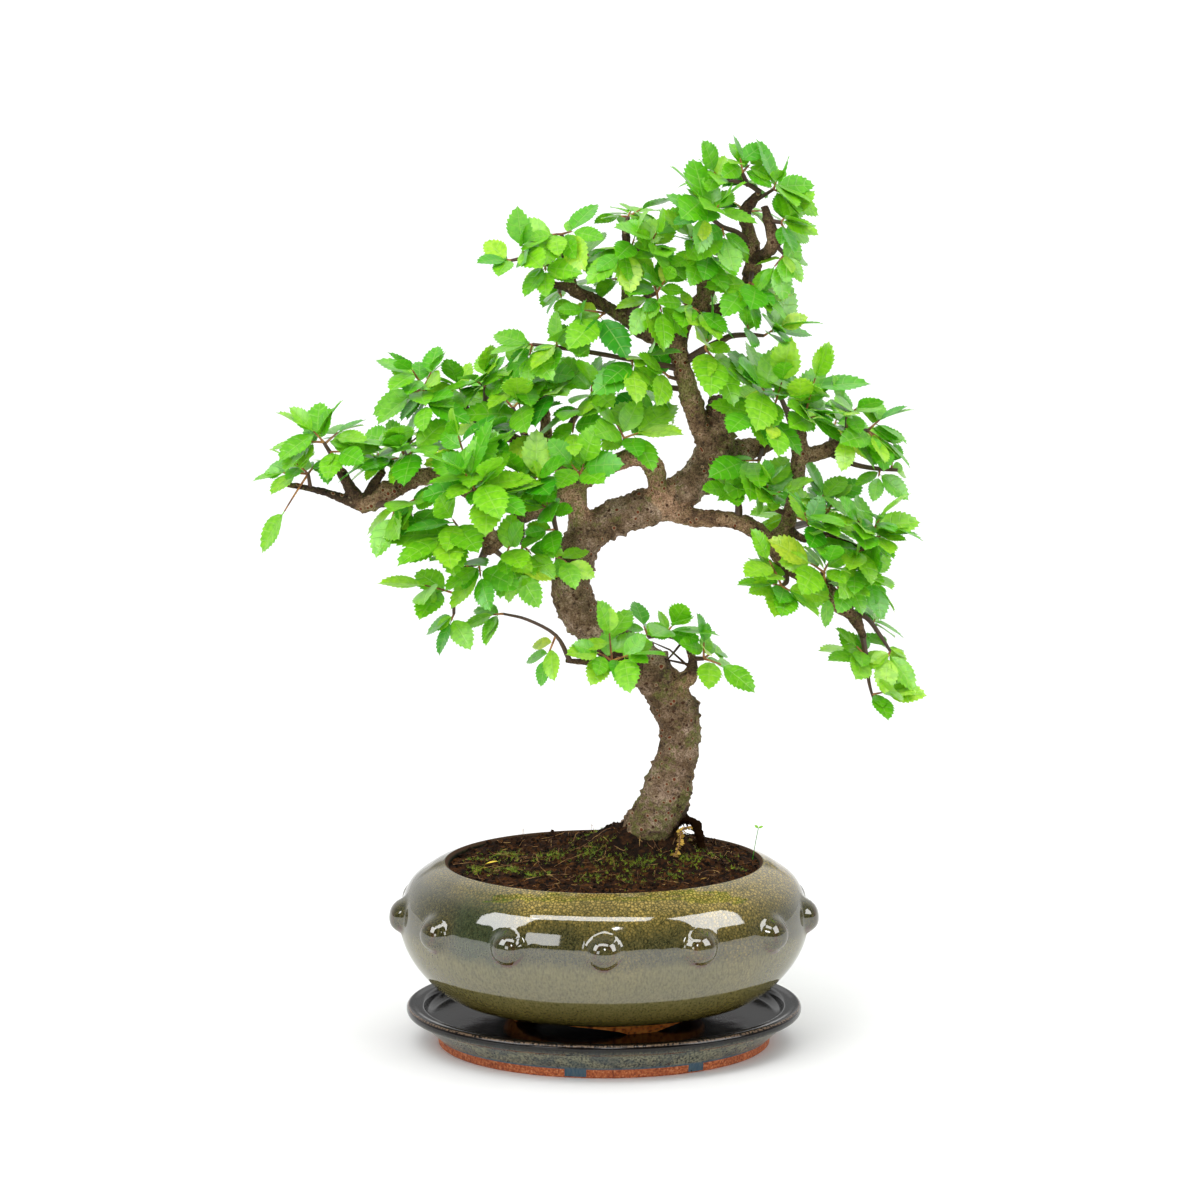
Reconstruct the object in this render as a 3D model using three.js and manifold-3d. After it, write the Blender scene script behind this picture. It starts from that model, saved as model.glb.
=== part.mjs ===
// A zelkova bonsai: an S-shaped tree in an oval studded pot of soil, standing on its oval saucer.
// Millimetres, +Z up. The origin is the middle of the saucer's flat underside, and the front looks along -Y.
import * as THREE from "three";
import { mergeVertices } from "three/addons/utils/BufferGeometryUtils.js";
import Module from "manifold-3d";

const wasm = await Module();
wasm.setup();

// Driving dimensions
const OVAL = 0.8; // depth of the pot and the saucer over their width
const SAUCER_WIDTH = 200;
const SAUCER_HEIGHT = 20.6;
const SAUCER_FLOOR = 14; // where the pot's feet stand
const POT_WIDTH = 206; // over the body, without its studs
const POT_HEIGHT = 80; // from the feet to the lip
const POT_WALL = 6.5;
const LIP_INSET = 21.4; // how far the lip lies inside the belly
const POT_FLOOR = 15.5; // the inside floor, above the feet
const FOOT_HEIGHT = 6.8;
const FOOT_RADIUS = 48;
const FOOT_GAP = 48; // between two feet, where an arch is cut
const STUDS = 13;
const STUD_RADIUS = 8.8;
const STUD_LEVEL = 55; // above the feet
const DRAIN_RADIUS = 6;
const DRAIN_SPAN = 72; // between the two drain holes
const MESH_SIZE = 22;
const MESH_THICK = 1;
const SOIL_EDGE = 90; // level of the soil against the pot wall
const SOIL_MOUND = 13; // how far it rises to the foot of the trunk
const SOIL_DIP = 1.8; // how far it sinks at the very wall
const ROUND = 26; // facets round the saucer, the pot and the soil
const GAP = 0.3; // between solids that touch
const LEAF_THICK = 0.6;
const LEAF_WIDTH = 0.6; // of its length
const LEAF_FOLD = 0.24; // rise of each half from the midrib, over its width
const TWIG_RADIUS = 0.7;
const TIP_LEAF = 0.45; // share of its last leaf that a shoot stops short of its tip

// The tree's points are [across, up, depth, radius] as seen from the front and 12 degrees above,
// so a point that lies deeper also lies lower.
const SIGHT = Math.tan(THREE.MathUtils.degToRad(12));
const place = ([across, up, depth]) => new THREE.Vector3(across, depth, up - depth * SIGHT);

const TRUNK = [
  [4, 78, 10, 11], [11, 95, 10, 13.4], [19.5, 107, 10, 12.8], [26.8, 118, 10, 12.3], [31.2, 128, 10, 12.2],
  [33.6, 138, 9, 11.2], [37, 150, 8, 10.1], [38.5, 163, 6, 10.2], [34.5, 176, 4, 10.7], [28.5, 186, 2, 10.6],
  [20.5, 195.5, 0, 10.3], [9, 204.5, -2, 9.9], [-2, 212, -4, 9.8], [-10, 220.5, -4, 9.9], [-15.5, 230, -4, 9.7],
  [-16.5, 240.5, -3, 9.4], [-14.5, 250.5, -2, 9.4], [-10.5, 259, -1, 9.4], [-4, 266, 0, 9.3], [8, 272, 0, 8.7],
  [18, 275.5, 1, 8.8], [28, 278, 2, 9.1], [38, 283.5, 3, 9], [46.5, 291.5, 4, 8.7], [52, 299.5, 5, 8.6],
  [55.5, 308, 5, 8.5], [57.5, 319, 6, 8], [59, 327, 7, 7.8], [59.5, 332.5, 7, 6.6],
];

// Limbs and stubs of the same wood as the trunk, each from the one that carries it outwards
const LIMBS = {
  leader: [
    [53, 307, 3, 6.6], [48, 318.5, 1, 5.6], [44, 327.5, 0, 5.2], [41.5, 337.5, -1, 4.9], [39, 346.5, -1, 4.5],
    [36.5, 356, 0, 4.8], [37, 364.5, 1, 4.8], [40.5, 372, 2, 4.9], [46, 378, 3, 4.3], [50.5, 384.5, 3, 3.9],
    [48, 392.5, 3, 3.6], [45, 399, 3, 3.1], [45, 406, 3, 2.5], [42.5, 410, 2, 1.7],
  ],
  crown: [
    [45, 375, 3, 3.4], [54, 375, 4, 3.2], [61.5, 378, 5, 3], [69.5, 386, 6, 3.3], [73.5, 395.5, 6, 4],
    [73.5, 405, 6, 3.8], [71.5, 415, 6, 3.4], [69.5, 423.5, 6, 3.1], [72.5, 430, 5, 2.6], [77, 434.5, 4, 2],
  ],
  crown_stub: [[73.5, 401, 6, 2.6], [80, 404, -2, 3], [84, 410, -6, 3.5], [81.5, 418, -6, 2.8], [79, 427.5, -3, 2.1]],
  shoulder: [
    [37, 359, 0, 3.6], [22, 363, 2, 3.4], [13, 369.5, 4, 3.2], [4, 376, 6, 3.1], [-3.5, 380, 6, 3.1],
    [-12, 384, 5, 3.2], [-18, 387.5, 4, 2.8], [-25.5, 388.5, 3, 1.7],
  ],
  shoulder_rise: [[-16, 386, 4, 2.6], [-16.5, 393.5, 3, 2.5], [-19, 402, 1, 2.2], [-20.5, 411, 0, 2]],
  middle_rise: [[11.5, 370, 5, 2.8], [11.5, 382, 9, 3], [11.5, 391.5, 11, 2.8], [11.5, 403, 12, 2.4], [10.5, 419, 12, 1.9]],
  right: [[52, 303, 5, 7], [65.5, 304.5, 12, 6.1], [75.5, 307, 18, 4.8], [85.5, 310, 22, 3.5], [96, 317, 27, 2.6]],
  lower_right: [
    [32, 275, 0, 5.6], [45.5, 271, -3, 4.6], [58, 270, -6, 4], [69, 268, -8, 4.1], [78, 262.5, -10, 4.3],
    [84.5, 255.5, -12, 4.1], [89, 248, -14, 3.6], [96.5, 242, -15, 3.2], [105, 239.5, -15, 3.1], [112, 234, -14, 3.6],
    [116, 227, -12, 3.9], [121.5, 223, -10, 3.4], [126, 218, -9, 2.7], [130, 209.5, -8, 2],
  ],
  upright: [
    [84, 259, -9, 3.8], [90.5, 265.5, -4, 4], [93, 275, -3, 3.7], [96, 287, -2, 3.4], [97, 298, -1, 3.9],
    [97.5, 307, 0, 4.2], [96.5, 315.5, 0, 3.3],
  ],
  upright_arm: [[97.5, 302, 0, 3.8], [106, 303.5, 1, 3.8], [113, 306, 2, 3.8], [118.5, 310, 2, 3.3], [127.5, 316, 0, 2.1]],
  inner_right: [[91, 265, -4, 2.6], [100.5, 260, -8, 1.9], [109, 262.5, -10, 1.6], [121, 260, -9, 1.4]],
  loop: [
    [30, 279, 0, 5.4], [27, 287.5, -2, 5.1], [25.5, 295, -3, 5], [21.5, 300, -4, 4.8], [14.5, 301.5, -5, 4.5],
    [5, 298.5, -6, 4.4], [-3, 294.5, -6, 4.4], [-10.5, 290, -6, 4.6], [-18, 284.5, -6, 4.6], [-25.5, 278.5, -8, 4.2],
    [-34, 274.5, -9, 4.1], [-47, 277, -8, 4], [-62, 282, -6, 4], [-76, 288.5, -4, 4.2], [-86, 292, -3, 4.1],
    [-96, 290, -2, 4.5], [-106, 285, -2, 4.8], [-115, 280, -2, 5], [-122, 277.5, -2, 4.8],
  ],
  fork: [[-10, 262, -2, 7.2], [-13, 274, -4, 5.5], [-14, 286, -6, 5]],
  back_left: [
    [-14.5, 287, -4, 4.2], [-21, 297.5, 6, 4.2], [-27.5, 305, 14, 4], [-37, 308, 20, 3.3], [-48, 313, 22, 2.8],
    [-59, 319, 23, 2.4], [-68.5, 325, 24, 2], [-78, 330, 22, 1.6],
  ],
  back_riser: [[-28.5, 305, 14, 3], [-29, 318, 17, 2.8], [-31, 331, 18, 2.8], [-31.5, 341, 18, 2.3]],
  front_left: [[-34, 274.5, -9, 3.4], [-43, 269, -18, 3.4], [-50.5, 261, -26, 3.8], [-56.5, 256.5, -30, 4.2]],
  front_stub: [[-56, 252.5, -30, 3.4], [-57, 259, -30, 4.4], [-58.5, 267, -31, 3.8], [-60, 276, -31, 3.6]],
  tip_left: [[-121, 278, -2, 3.8], [-129.5, 280.5, -3, 2.6], [-139.5, 284, -4, 1.9], [-150.5, 286.5, -4, 1.5], [-164, 288.5, -3, 1.5]],
  tip_rise: [[-122, 280, -2, 3.2], [-127.5, 288, -3, 2.8], [-131, 294.5, -4, 2.3], [-135, 299.5, -6, 1.4]],
  tip_prong: [[-118, 281, -2, 2.8], [-114, 289, 0, 2.3], [-109.5, 295, 2, 1.8]],
  low_knob: [[36, 187, 3, 4.2], [42.5, 189.5, 0, 4.3], [44.5, 196.5, -1, 2.4], [43, 203.5, -1, 1.9], [41, 209.5, -1, 1.5]],
  low_left: [[17, 195, -4, 2.4], [4, 194.5, -12, 2.2], [-6, 197, -13, 1.9], [-19.5, 198, -13, 1.3]],
  root_left: [[18, 104, 9, 7], [8, 99.5, 5, 5], [-1, 95, 2, 3.4]],
  root_right: [[24, 102, 6, 7], [33, 97, 2, 4.6], [40, 92, -2, 3]],
  root_back: [[20, 107, 14, 6], [26, 106, 24, 4.4], [30, 105, 33, 2.6]],
  dead_root: [[31, 107, 13, 2.6], [39, 114, 13, 2.3], [45, 114.3, 13, 2.1], [48.6, 107, 13, 1.8], [49.5, 98, 13, 1.4]],
};

// Leafy branches: the stem from its limb outwards, then each shoot's tip with its number of leaves and their length.
// A shoot leaves the stem where the stem comes nearest to its tip.
const SPRAYS = {
  crown_top: [
    [[77, 435, 4, 1.5], [71, 438.5, 2, 1.3], [64, 440, 0, 1.1], [55.5, 440.5, -2, 0.8]],
    [[53, 448, -6, 5, 17], [70, 441, 7, 4, 17], [43, 441, 0, 3, 14]],
  ],
  crown_right: [[[75.5, 431, 4, 1.2], [83.5, 436, 2, 0.9]], [[86, 443, -4, 5, 19], [93, 432, 3, 6, 20]]],
  crown_front: [
    [[72.5, 409, 5, 1.7], [65.5, 414.5, 0, 1.5], [58, 417, -6, 1.3], [52.5, 421, -12, 1]],
    [[43, 438, -22, 5, 22], [60, 433, -20, 4, 19], [41, 421, -20, 4, 18], [60, 407, -14, 4, 19]],
  ],
  crown_side: [[[81, 420, -6, 1.4], [87, 419, -7, 1]], [[91, 424, -6, 4, 19], [92, 410, -5, 3, 17]]],
  crown_hanging: [[[73.5, 396, 5, 1.3], [72, 389, -8, 1]], [[67, 383, -18, 5, 22], [79, 384, -14, 4, 20]]],
  crown_back: [[[70, 421, 7, 1.6], [71, 426, 20, 1.2]], [[60, 435, 36, 6, 18], [83, 428, 38, 5, 18]]],
  crown_inner: [[[46, 400, 3, 1.4], [48, 405, -5, 1]], [[38, 418, -10, 5, 19], [58, 400, -14, 5, 18], [46, 395, -17, 3, 19]]],
  leader_back: [[[50, 386, 4, 1.6], [52, 389, 16, 1.2]], [[60, 399, 36, 6, 18], [40, 397, 36, 5, 18]]],
  shoulder_top: [
    [[10.5, 418, 12, 1.5], [12, 423, 12, 1]],
    [[24, 430, 9, 5, 19], [3, 424, 15, 3, 13], [14, 429, 24, 4, 16]],
  ],
  shoulder_front: [
    [[45, 398, 3, 1.8], [34, 402, 0, 1.5], [25.5, 404, -3, 1.3], [13.5, 406.5, -5, 0.9]],
    [[28, 419, -16, 5, 19], [16, 415, -12, 4, 18], [2, 399, -14, 5, 20], [30, 407, -18, 3, 18]],
  ],
  shoulder_cross: [
    [[12.5, 374, 4, 1.8], [19, 381, -1, 1.6], [26, 384, -7, 1.2]],
    [[33, 394, -16, 5, 16], [22, 395, -6, 4, 16], [18, 371, -18, 3, 20], [30, 367, -20, 3, 18]],
  ],
  shoulder_back: [[[11.5, 390, 12, 1.6], [9, 392, 20, 1.2]], [[-2, 393, 24, 5, 16], [15, 401, 44, 6, 18]]],
  shoulder_end: [[[-20, 409, 0, 1.4], [-21, 413.5, -1, 1]], [[-11, 416, -3, 5, 18], [-30, 413, -6, 4, 19]]],
  shoulder_left: [
    [[-18, 398, 1, 1.8], [-29.5, 399, -3, 1.4], [-39.5, 401, -6, 1.1], [-46, 400, -8, 0.8]],
    [[-40, 412, -10, 4, 19], [-50, 401, -10, 4, 16], [-28, 391, -14, 5, 18]],
  ],
  long_branch: [
    [[38, 346, -1, 2], [25.5, 348.5, -6, 1.5], [10.5, 351, -8, 1.3], [-2, 353.5, -6, 1.3], [-17, 356, -3, 1.2], [-35.5, 358.5, 0, 1]],
    [
      [14, 342, -18, 4, 20], [23, 358, -14, 3, 17], [-12, 369, -10, 4, 18], [-24, 362, -12, 4, 18],
      [-41, 358, -2, 5, 17], [-38, 347, -9, 4, 18],
    ],
  ],
  leader_left: [[[39, 336, 0, 1.6], [25.5, 338, 8, 1.2]], [[10, 331, 14, 4, 20], [32, 328, 14, 3, 17]]],
  loop_top: [[[14.5, 302, -5, 1.3], [10, 311, -8, 1]], [[3, 324, -11, 6, 20], [24, 316, -14, 5, 22]]],
  leader_right: [
    [[39, 349, 0, 2.4], [48, 355, -2, 2.2], [57, 359.5, -4, 2], [63, 362.5, -5, 1.6], [72, 363, -6, 1.3], [79, 362.5, -7, 0.9]],
    [[94, 371, -12, 6, 22], [70, 373, -12, 3, 18], [55, 346, 6, 5, 18]],
  ],
  right_front: [
    [[83, 309, 21, 2.2], [84.5, 318, 10, 1.9], [84, 325, 0, 1.4]],
    [[73, 346, -18, 6, 25], [90, 347, -14, 4, 23], [66, 322, -28, 4, 21], [84, 314, -30, 4, 20]],
  ],
  right_back: [
    [[95, 316, 27, 2], [92, 326, 38, 1.6], [88, 336, 48, 1.2]],
    [[70, 340, 54, 6, 19], [92, 356, 60, 5, 19], [104, 340, 58, 6, 19], [118, 330, 50, 6, 19]],
  ],
  upright_top: [[[96.5, 313, 0, 1.8], [99, 320, -4, 1.3]], [[96, 336, -13, 6, 22], [107, 351, -8, 4, 23], [110, 324, -16, 5, 22]]],
  arm_top: [[[121, 311, 2, 1.7], [121, 322, -1, 1.2]], [[116, 337, -4, 5, 20], [129, 330, -9, 4, 18], [120, 304, -17, 3, 18]]],
  arm_end: [[[126, 315, 0, 1.6], [131, 315, 0, 1.2]], [[143, 326, 4, 5, 19], [145, 306, -2, 5, 18], [135, 309, -15, 4, 18]]],
  arm_under: [
    [[112, 304, 2, 1.8], [123, 298.5, 0, 1.4], [134, 296, -2, 1.2], [146, 295, -4, 0.9]],
    [[136, 288, -7, 3, 15], [144, 303, 2, 3, 14]],
  ],
  arm_back: [[[113, 308, 4, 1.7], [114, 313, 16, 1.3]], [[118, 326, 38, 6, 19], [136, 316, 32, 5, 18]]],
  upright_side: [[[93, 273, -3, 1.8], [85.5, 275, -7, 1.4], [82, 281, -9, 1.1]], [[80, 293, -14, 4, 21], [93, 287, -15, 4, 18]]],
  inner_front: [[[101, 260, -8, 1.5], [102, 264, -17, 1.1]], [[97, 280, -32, 5, 23], [115, 269, -28, 5, 21]]],
  inner_end: [
    [[119, 260, -9, 1.5], [129, 255, -8, 1.2], [132, 260, -9, 1]],
    [[141, 279, -13, 6, 21], [143, 263, -10, 4, 20], [122, 275, -22, 5, 21], [124, 252, -20, 4, 18]],
  ],
  front_twigs: [
    [[89, 248, -14, 2], [90.5, 239, -21, 1.5], [88, 236, -26, 1.1]],
    [[78, 256, -32, 5, 19], [79, 238, -32, 3, 18], [96, 231, -34, 4, 20]],
  ],
  knob_rise: [
    [[117, 226, -11, 2.2], [124, 227, -10, 2.1], [126, 234, -8, 1.7], [124, 241, -8, 1.6], [132, 240, -6, 1.2]],
    [[125, 254, -18, 5, 20], [118, 233, -24, 4, 16], [139, 233, -6, 4, 16], [133, 249, -10, 4, 18]],
  ],
  tail: [
    [[129, 211, -8, 1.8], [131, 199.5, -8, 1.4], [132.5, 187, -8, 1], [135.5, 176, -8, 0.6]],
    [[124, 201, -12, 4, 19], [122, 210, -13, 3, 15], [146, 183, -12, 4, 20]],
  ],
  tail_side: [
    [[123, 222, -9, 1.8], [131, 220, -6, 1.4], [138, 211, -5, 1.1], [143, 203, -6, 0.8]],
    [[141, 197, -11, 4, 20], [142, 205, -5, 3, 17], [137, 222, 6, 4, 17]],
  ],
  lower_back: [[[92, 266, -3, 2.2], [100, 268, 18, 1.8], [110, 271, 36, 1.3]], [[100, 282, 54, 6, 19], [126, 274, 52, 6, 19], [84, 276, 34, 5, 18]]],
  front_top: [[[-59.5, 272, -31, 1.5], [-62, 282, -35, 1.1]], [[-73, 301, -46, 6, 26], [-47, 281, -46, 5, 24], [-58, 296, -50, 4, 23]]],
  tall_shoot: [[[-38, 307, 19, 1.4], [-39, 314, 10, 1.1]], [[-44, 338, -8, 6, 26], [-52, 322, -12, 3, 22]]],
  limb_front: [[[-64, 283, -6, 1.6], [-66, 293, -18, 1.2]], [[-74, 319, -28, 5, 19], [-54, 310, -32, 5, 24]]],
  back_top: [
    [[-68, 324, 24, 1.5], [-70, 332, 26, 1.2]],
    [[-76, 346, 20, 6, 19], [-64, 340, 50, 6, 18]],
  ],
  back_end: [
    [[-77, 329.5, 22, 1.6], [-87, 332, 16, 1.3], [-90, 337, 12, 1]],
    [[-99, 352, 4, 5, 19], [-83, 351, 6, 5, 17], [-103, 329, 0, 5, 20], [-88, 323, -14, 5, 20]],
  ],
  back_mid: [[[-59, 319, 23, 1.7], [-59, 328.5, 20, 1.6], [-59, 337.5, 16, 1.3]], [[-57, 350, 12, 5, 18], [-68, 343, 2, 4, 18]]],
  riser_left: [
    [[-31, 333, 18, 2], [-39.5, 341, 16, 1.7], [-49, 348, 14, 1.3]],
    [[-44, 352, 10, 5, 17], [-24, 347, 6, 5, 18], [-28, 353, 46, 6, 18], [-40, 336, -4, 4, 22]],
  ],
  mid_shoot: [[[-24, 304, 12, 2], [-14.5, 322, 6, 1.6], [-6, 331.5, 4, 1.3]], [[-6, 345, -5, 5, 21], [-19, 325, -14, 4, 21], [-16, 310, -18, 4, 18]]],
  far_back: [[[-38, 309, 22, 2], [-42, 318, 40, 1.6], [-46, 328, 54, 1.2]], [[-35, 341, 70, 6, 18], [-58, 342, 68, 6, 18], [-66, 322, 56, 5, 18]]],
  left_top: [[[-98, 292, -1, 1.7], [-99, 301, -3, 1.2]], [[-102, 312, -15, 4, 24], [-88, 309, -22, 5, 23], [-112, 300, -12, 4, 19]]],
  left_under: [
    [[-117, 278, -3, 2.2], [-109.5, 277.5, -8, 1.6], [-98, 277, -15, 1.2]],
    [[-107, 266, -20, 5, 20], [-89, 283, -27, 5, 20], [-92, 265, -18, 3, 18]],
  ],
  front_side: [[[-57.5, 260, -30, 2], [-65, 260.5, -29, 1.6], [-71, 264, -28, 1.2]], [[-88, 257, -42, 5, 26], [-78, 275, -40, 4, 23]]],
  front_hanging: [
    [[-58, 255, -30, 2.2], [-62, 248, -28, 1.6], [-69, 245, -25, 1.2], [-74, 231, -24, 1], [-74.5, 222, -24, 0.8]],
    [[-98, 239, -30, 5, 22], [-77, 215, -28, 3, 19], [-60, 234, -38, 4, 21], [-76, 252, -37, 3, 18]],
  ],
  hanging_right: [
    [[-22, 282, -7, 1.7], [-25, 272, -16, 1.4], [-23.5, 262, -19, 1.1], [-25.5, 252, -19, 0.8]],
    [[-30, 289, -23, 5, 21], [-36, 282, -25, 3, 19], [-13, 245, -21, 4, 14], [-33, 264, -26, 4, 19]],
  ],
  left_back: [[[-97, 293, 0, 2], [-98, 300, 16, 1.6], [-101, 306, 30, 1.2]], [[-90, 317, 46, 6, 18], [-112, 315, 42, 6, 18]]],
  tip_top: [
    [[-131, 293, -4, 1.7], [-135, 302, -6, 1.2], [-139, 309, -8, 0.9]],
    [[-149, 320, -12, 5, 20], [-127, 319, 2, 5, 18], [-157, 309, -6, 5, 17], [-126, 304, -18, 5, 20]],
  ],
  tip_end: [
    [[-146, 286, -4, 1.2], [-147, 293, -6, 1]],
    [[-158, 303, -10, 4, 18], [-140, 303, 16, 4, 17], [-164, 266, -8, 1, 21], [-166, 294, -3, 4, 15]],
  ],
  low_arch: [[[-17, 198, -13, 1.4], [-24, 211, -16, 1], [-38, 219, -20, 0.9], [-50, 222, -22, 0.7]], [[-60, 221, -24, 4, 16], [-31, 193, -16, 4, 15]]],
  low_front: [[[3, 195, -12, 1.5], [4, 198, -17, 1.1]], [[-9, 206, -26, 4, 20], [2, 220, -23, 4, 19], [18, 203, -29, 4, 19]]],
  low_cross: [[[41.5, 208, -1, 1.5], [30.5, 211, -3, 1.3], [22, 210, -4, 1]], [[37, 220, -10, 5, 21], [18, 221, 3, 5, 16]]],
  low_right: [[[44.5, 199, -1, 1.4], [50, 199, -3, 1.1]], [[50, 214, -4, 4, 15], [67, 193, -9, 3, 21], [58, 204, 14, 4, 16]]],
};
const COUNTED = 0.45; // share of each branch's shoots, and of a shoot's leaves, that the solids carry

// A repeatable draw from 0 to 1
function seeded(seed) {
  let state = seed >>> 0;
  return () => {
    state = (state + 0x6d2b79f5) >>> 0;
    let t = Math.imul(state ^ (state >>> 15), state | 1);
    t = (t ^ (t + Math.imul(t ^ (t >>> 7), t | 61))) >>> 0;
    return ((t ^ (t >>> 14)) >>> 0) / 4294967296;
  };
}

function solidOf(geometry) {
  const bare = geometry.clone();
  bare.deleteAttribute("normal");
  bare.deleteAttribute("uv");
  const merged = mergeVertices(bare, 1e-4);
  return new wasm.Manifold(
    new wasm.Mesh({
      numProp: 3,
      vertProperties: new Float32Array(merged.attributes.position.array),
      triVerts: new Uint32Array(merged.index.array),
    }),
  );
}

function geometryOf(solid) {
  const mesh = solid.getMesh();
  const geometry = new THREE.BufferGeometry();
  geometry.setAttribute("position", new THREE.BufferAttribute(mesh.vertProperties, 3));
  geometry.setIndex(new THREE.BufferAttribute(mesh.triVerts, 1));
  return geometry;
}

function indexed(vertices, triangles) {
  const geometry = new THREE.BufferGeometry();
  geometry.setAttribute("position", new THREE.Float32BufferAttribute(vertices.flatMap((v) => v.toArray()), 3));
  geometry.setIndex(triangles.flat());
  return geometry;
}

const joined = (solids) => wasm.Manifold.union(solids);
const largest = (solid) => solid.decompose().sort((a, b) => b.volume() - a.volume())[0];

// A closed tube through points, with a radius at each, and rings that don't twist
function tube(points, radii, sides) {
  const vertices = [];
  const triangles = [];
  let across = null;
  points.forEach((point, i) => {
    const ahead = points[Math.min(i + 1, points.length - 1)];
    const along = ahead.clone().sub(points[Math.max(i - 1, 0)]).normalize();
    across ??= new THREE.Vector3(Math.abs(along.x) < 0.8 ? 1 : 0, 0, Math.abs(along.x) < 0.8 ? 0 : 1);
    across = across.clone().addScaledVector(along, -across.dot(along)).normalize();
    const over = along.clone().cross(across);
    for (let k = 0; k < sides; k++) {
      const turn = (k / sides) * Math.PI * 2;
      vertices.push(
        point.clone().addScaledVector(across, Math.cos(turn) * radii[i]).addScaledVector(over, Math.sin(turn) * radii[i]),
      );
    }
  });
  const last = (points.length - 1) * sides;
  for (let k = 0; k < sides; k++) {
    const next = (k + 1) % sides;
    for (let row = 0; row < last; row += sides) {
      triangles.push([row + k, row + next, row + sides + next], [row + k, row + sides + next, row + sides + k]);
    }
    if (k > 0 && k < sides - 1) triangles.push([0, k + 1, k], [last, last + k, last + k + 1]);
  }
  return indexed(vertices, triangles);
}

// A body turned on the Z axis from its half section, then pressed to the oval
function turned(section, segments) {
  const geometry = new THREE.LatheGeometry(section.map(([r, z]) => new THREE.Vector2(r, z)), segments);
  geometry.rotateX(Math.PI / 2);
  geometry.scale(1, OVAL, 1);
  return solidOf(geometry);
}

// Points of an oval, the first at the front, spaced evenly before the round pot was pressed oval
function aroundOval(width, count) {
  return Array.from({ length: count }, (_, n) => {
    const turn = (n / count) * Math.PI * 2;
    return new THREE.Vector2(Math.sin(turn) * width, -Math.cos(turn) * width * OVAL);
  });
}

function makeSaucer() {
  const r = SAUCER_WIDTH / 2;
  const top = SAUCER_HEIGHT;
  return turned(
    [
      [0, 0], [r - 16, 0], [r - 15, 5], [r - 7, 12.5], [r - 4.5, 14.5], [r - 0.5, 16], [r, top - 1.6], [r - 2, top],
      [r - 8, top - 0.4], [r - 10, top - 3.6], [r - 12, SAUCER_FLOOR], [0, SAUCER_FLOOR],
    ],
    ROUND,
  );
}

// Half sections of the pot, in levels above its feet: the outside up to the lip, then the inside down to the floor
const potLevel = (z) => SAUCER_FLOOR + z;
const BELLY = POT_WIDTH / 2;
const LIP = BELLY - LIP_INSET;
const POT_OUTSIDE = [
  [0, FOOT_HEIGHT], [BELLY - 45, FOOT_HEIGHT], [BELLY - 24, 12.6], [BELLY - 9, 26.2], [BELLY - 1, 41], [BELLY, 55.5],
  [BELLY - 5, 69], [BELLY - 15, 75.8], [LIP, POT_HEIGHT],
];
const POT_INSIDE = [
  [LIP - 3, POT_HEIGHT - 1.4], [LIP - 1, 74.5], [BELLY - 12, 66.5], [BELLY - POT_WALL, 55], [BELLY - 8.5, 40],
  [BELLY - 20, 25], [BELLY - 37, 17], [BELLY - 47, POT_FLOOR], [0, POT_FLOOR],
];
const raised = (section) => section.map(([r, z]) => [r, potLevel(z)]);
const STUD_SECTION = [[0, -2.2], [1, -2.2], [0.76, 3.6], [0, 5.8]];

function makePot() {
  const body = turned(raised([...POT_OUTSIDE, ...POT_INSIDE]), ROUND);
  const ring = turned(
    [
      [0, potLevel(0)], [FOOT_RADIUS, potLevel(0)], [FOOT_RADIUS + 3, potLevel(FOOT_HEIGHT + 1)],
      [0, potLevel(FOOT_HEIGHT + 1)],
    ],
    20,
  );
  const hollow = turned(
    [
      [0, potLevel(-1)], [FOOT_RADIUS - 8, potLevel(-1)], [FOOT_RADIUS - 8, potLevel(FOOT_HEIGHT)],
      [0, potLevel(FOOT_HEIGHT)],
    ],
    20,
  );
  const arches = [-8, 112, 232].map((angle) => {
    const arch = new THREE.BoxGeometry(2 * FOOT_RADIUS, FOOT_GAP, 2 * FOOT_HEIGHT);
    arch.translate(FOOT_RADIUS, 0, potLevel(0));
    arch.rotateZ(THREE.MathUtils.degToRad(angle));
    return solidOf(arch);
  });
  const studs = aroundOval(POT_WIDTH / 2, STUDS).map((at) => {
    const stud = new THREE.LatheGeometry(STUD_SECTION.map(([r, z]) => new THREE.Vector2(r * STUD_RADIUS, z)), 8);
    const outward = new THREE.Vector3(at.x * OVAL * OVAL, at.y, 0).normalize();
    stud.applyQuaternion(new THREE.Quaternion().setFromUnitVectors(new THREE.Vector3(0, 1, 0), outward));
    stud.translate(at.x, at.y, potLevel(STUD_LEVEL));
    return solidOf(stud);
  });
  const drains = [-1, 1].map((side) => {
    const drain = new THREE.CylinderGeometry(DRAIN_RADIUS, DRAIN_RADIUS, 4 * POT_FLOOR, 12);
    drain.rotateX(Math.PI / 2);
    drain.translate((side * DRAIN_SPAN) / 2, 0, potLevel(POT_FLOOR));
    return solidOf(drain);
  });
  const feet = ring.subtract(joined([hollow, ...arches]));
  return joined([body, feet, ...studs]).subtract(joined(drains));
}

// A square of plastic mesh over a drain hole
function makeDrainMesh(side) {
  const box = (x, y, width, height) => {
    const geometry = new THREE.BoxGeometry(width, width, height);
    geometry.translate((side * DRAIN_SPAN) / 2 + x, y, potLevel(POT_FLOOR) + MESH_THICK / 2);
    return solidOf(geometry);
  };
  const cell = MESH_SIZE / 2;
  const spots = [-1, 1].flatMap((x) => [-1, 1].map((y) => [(x * cell) / 2, (y * cell) / 2]));
  return box(0, 0, MESH_SIZE, MESH_THICK).subtract(joined(spots.map(([x, y]) => box(x, y, cell * 0.7, 3 * MESH_THICK))));
}

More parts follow.
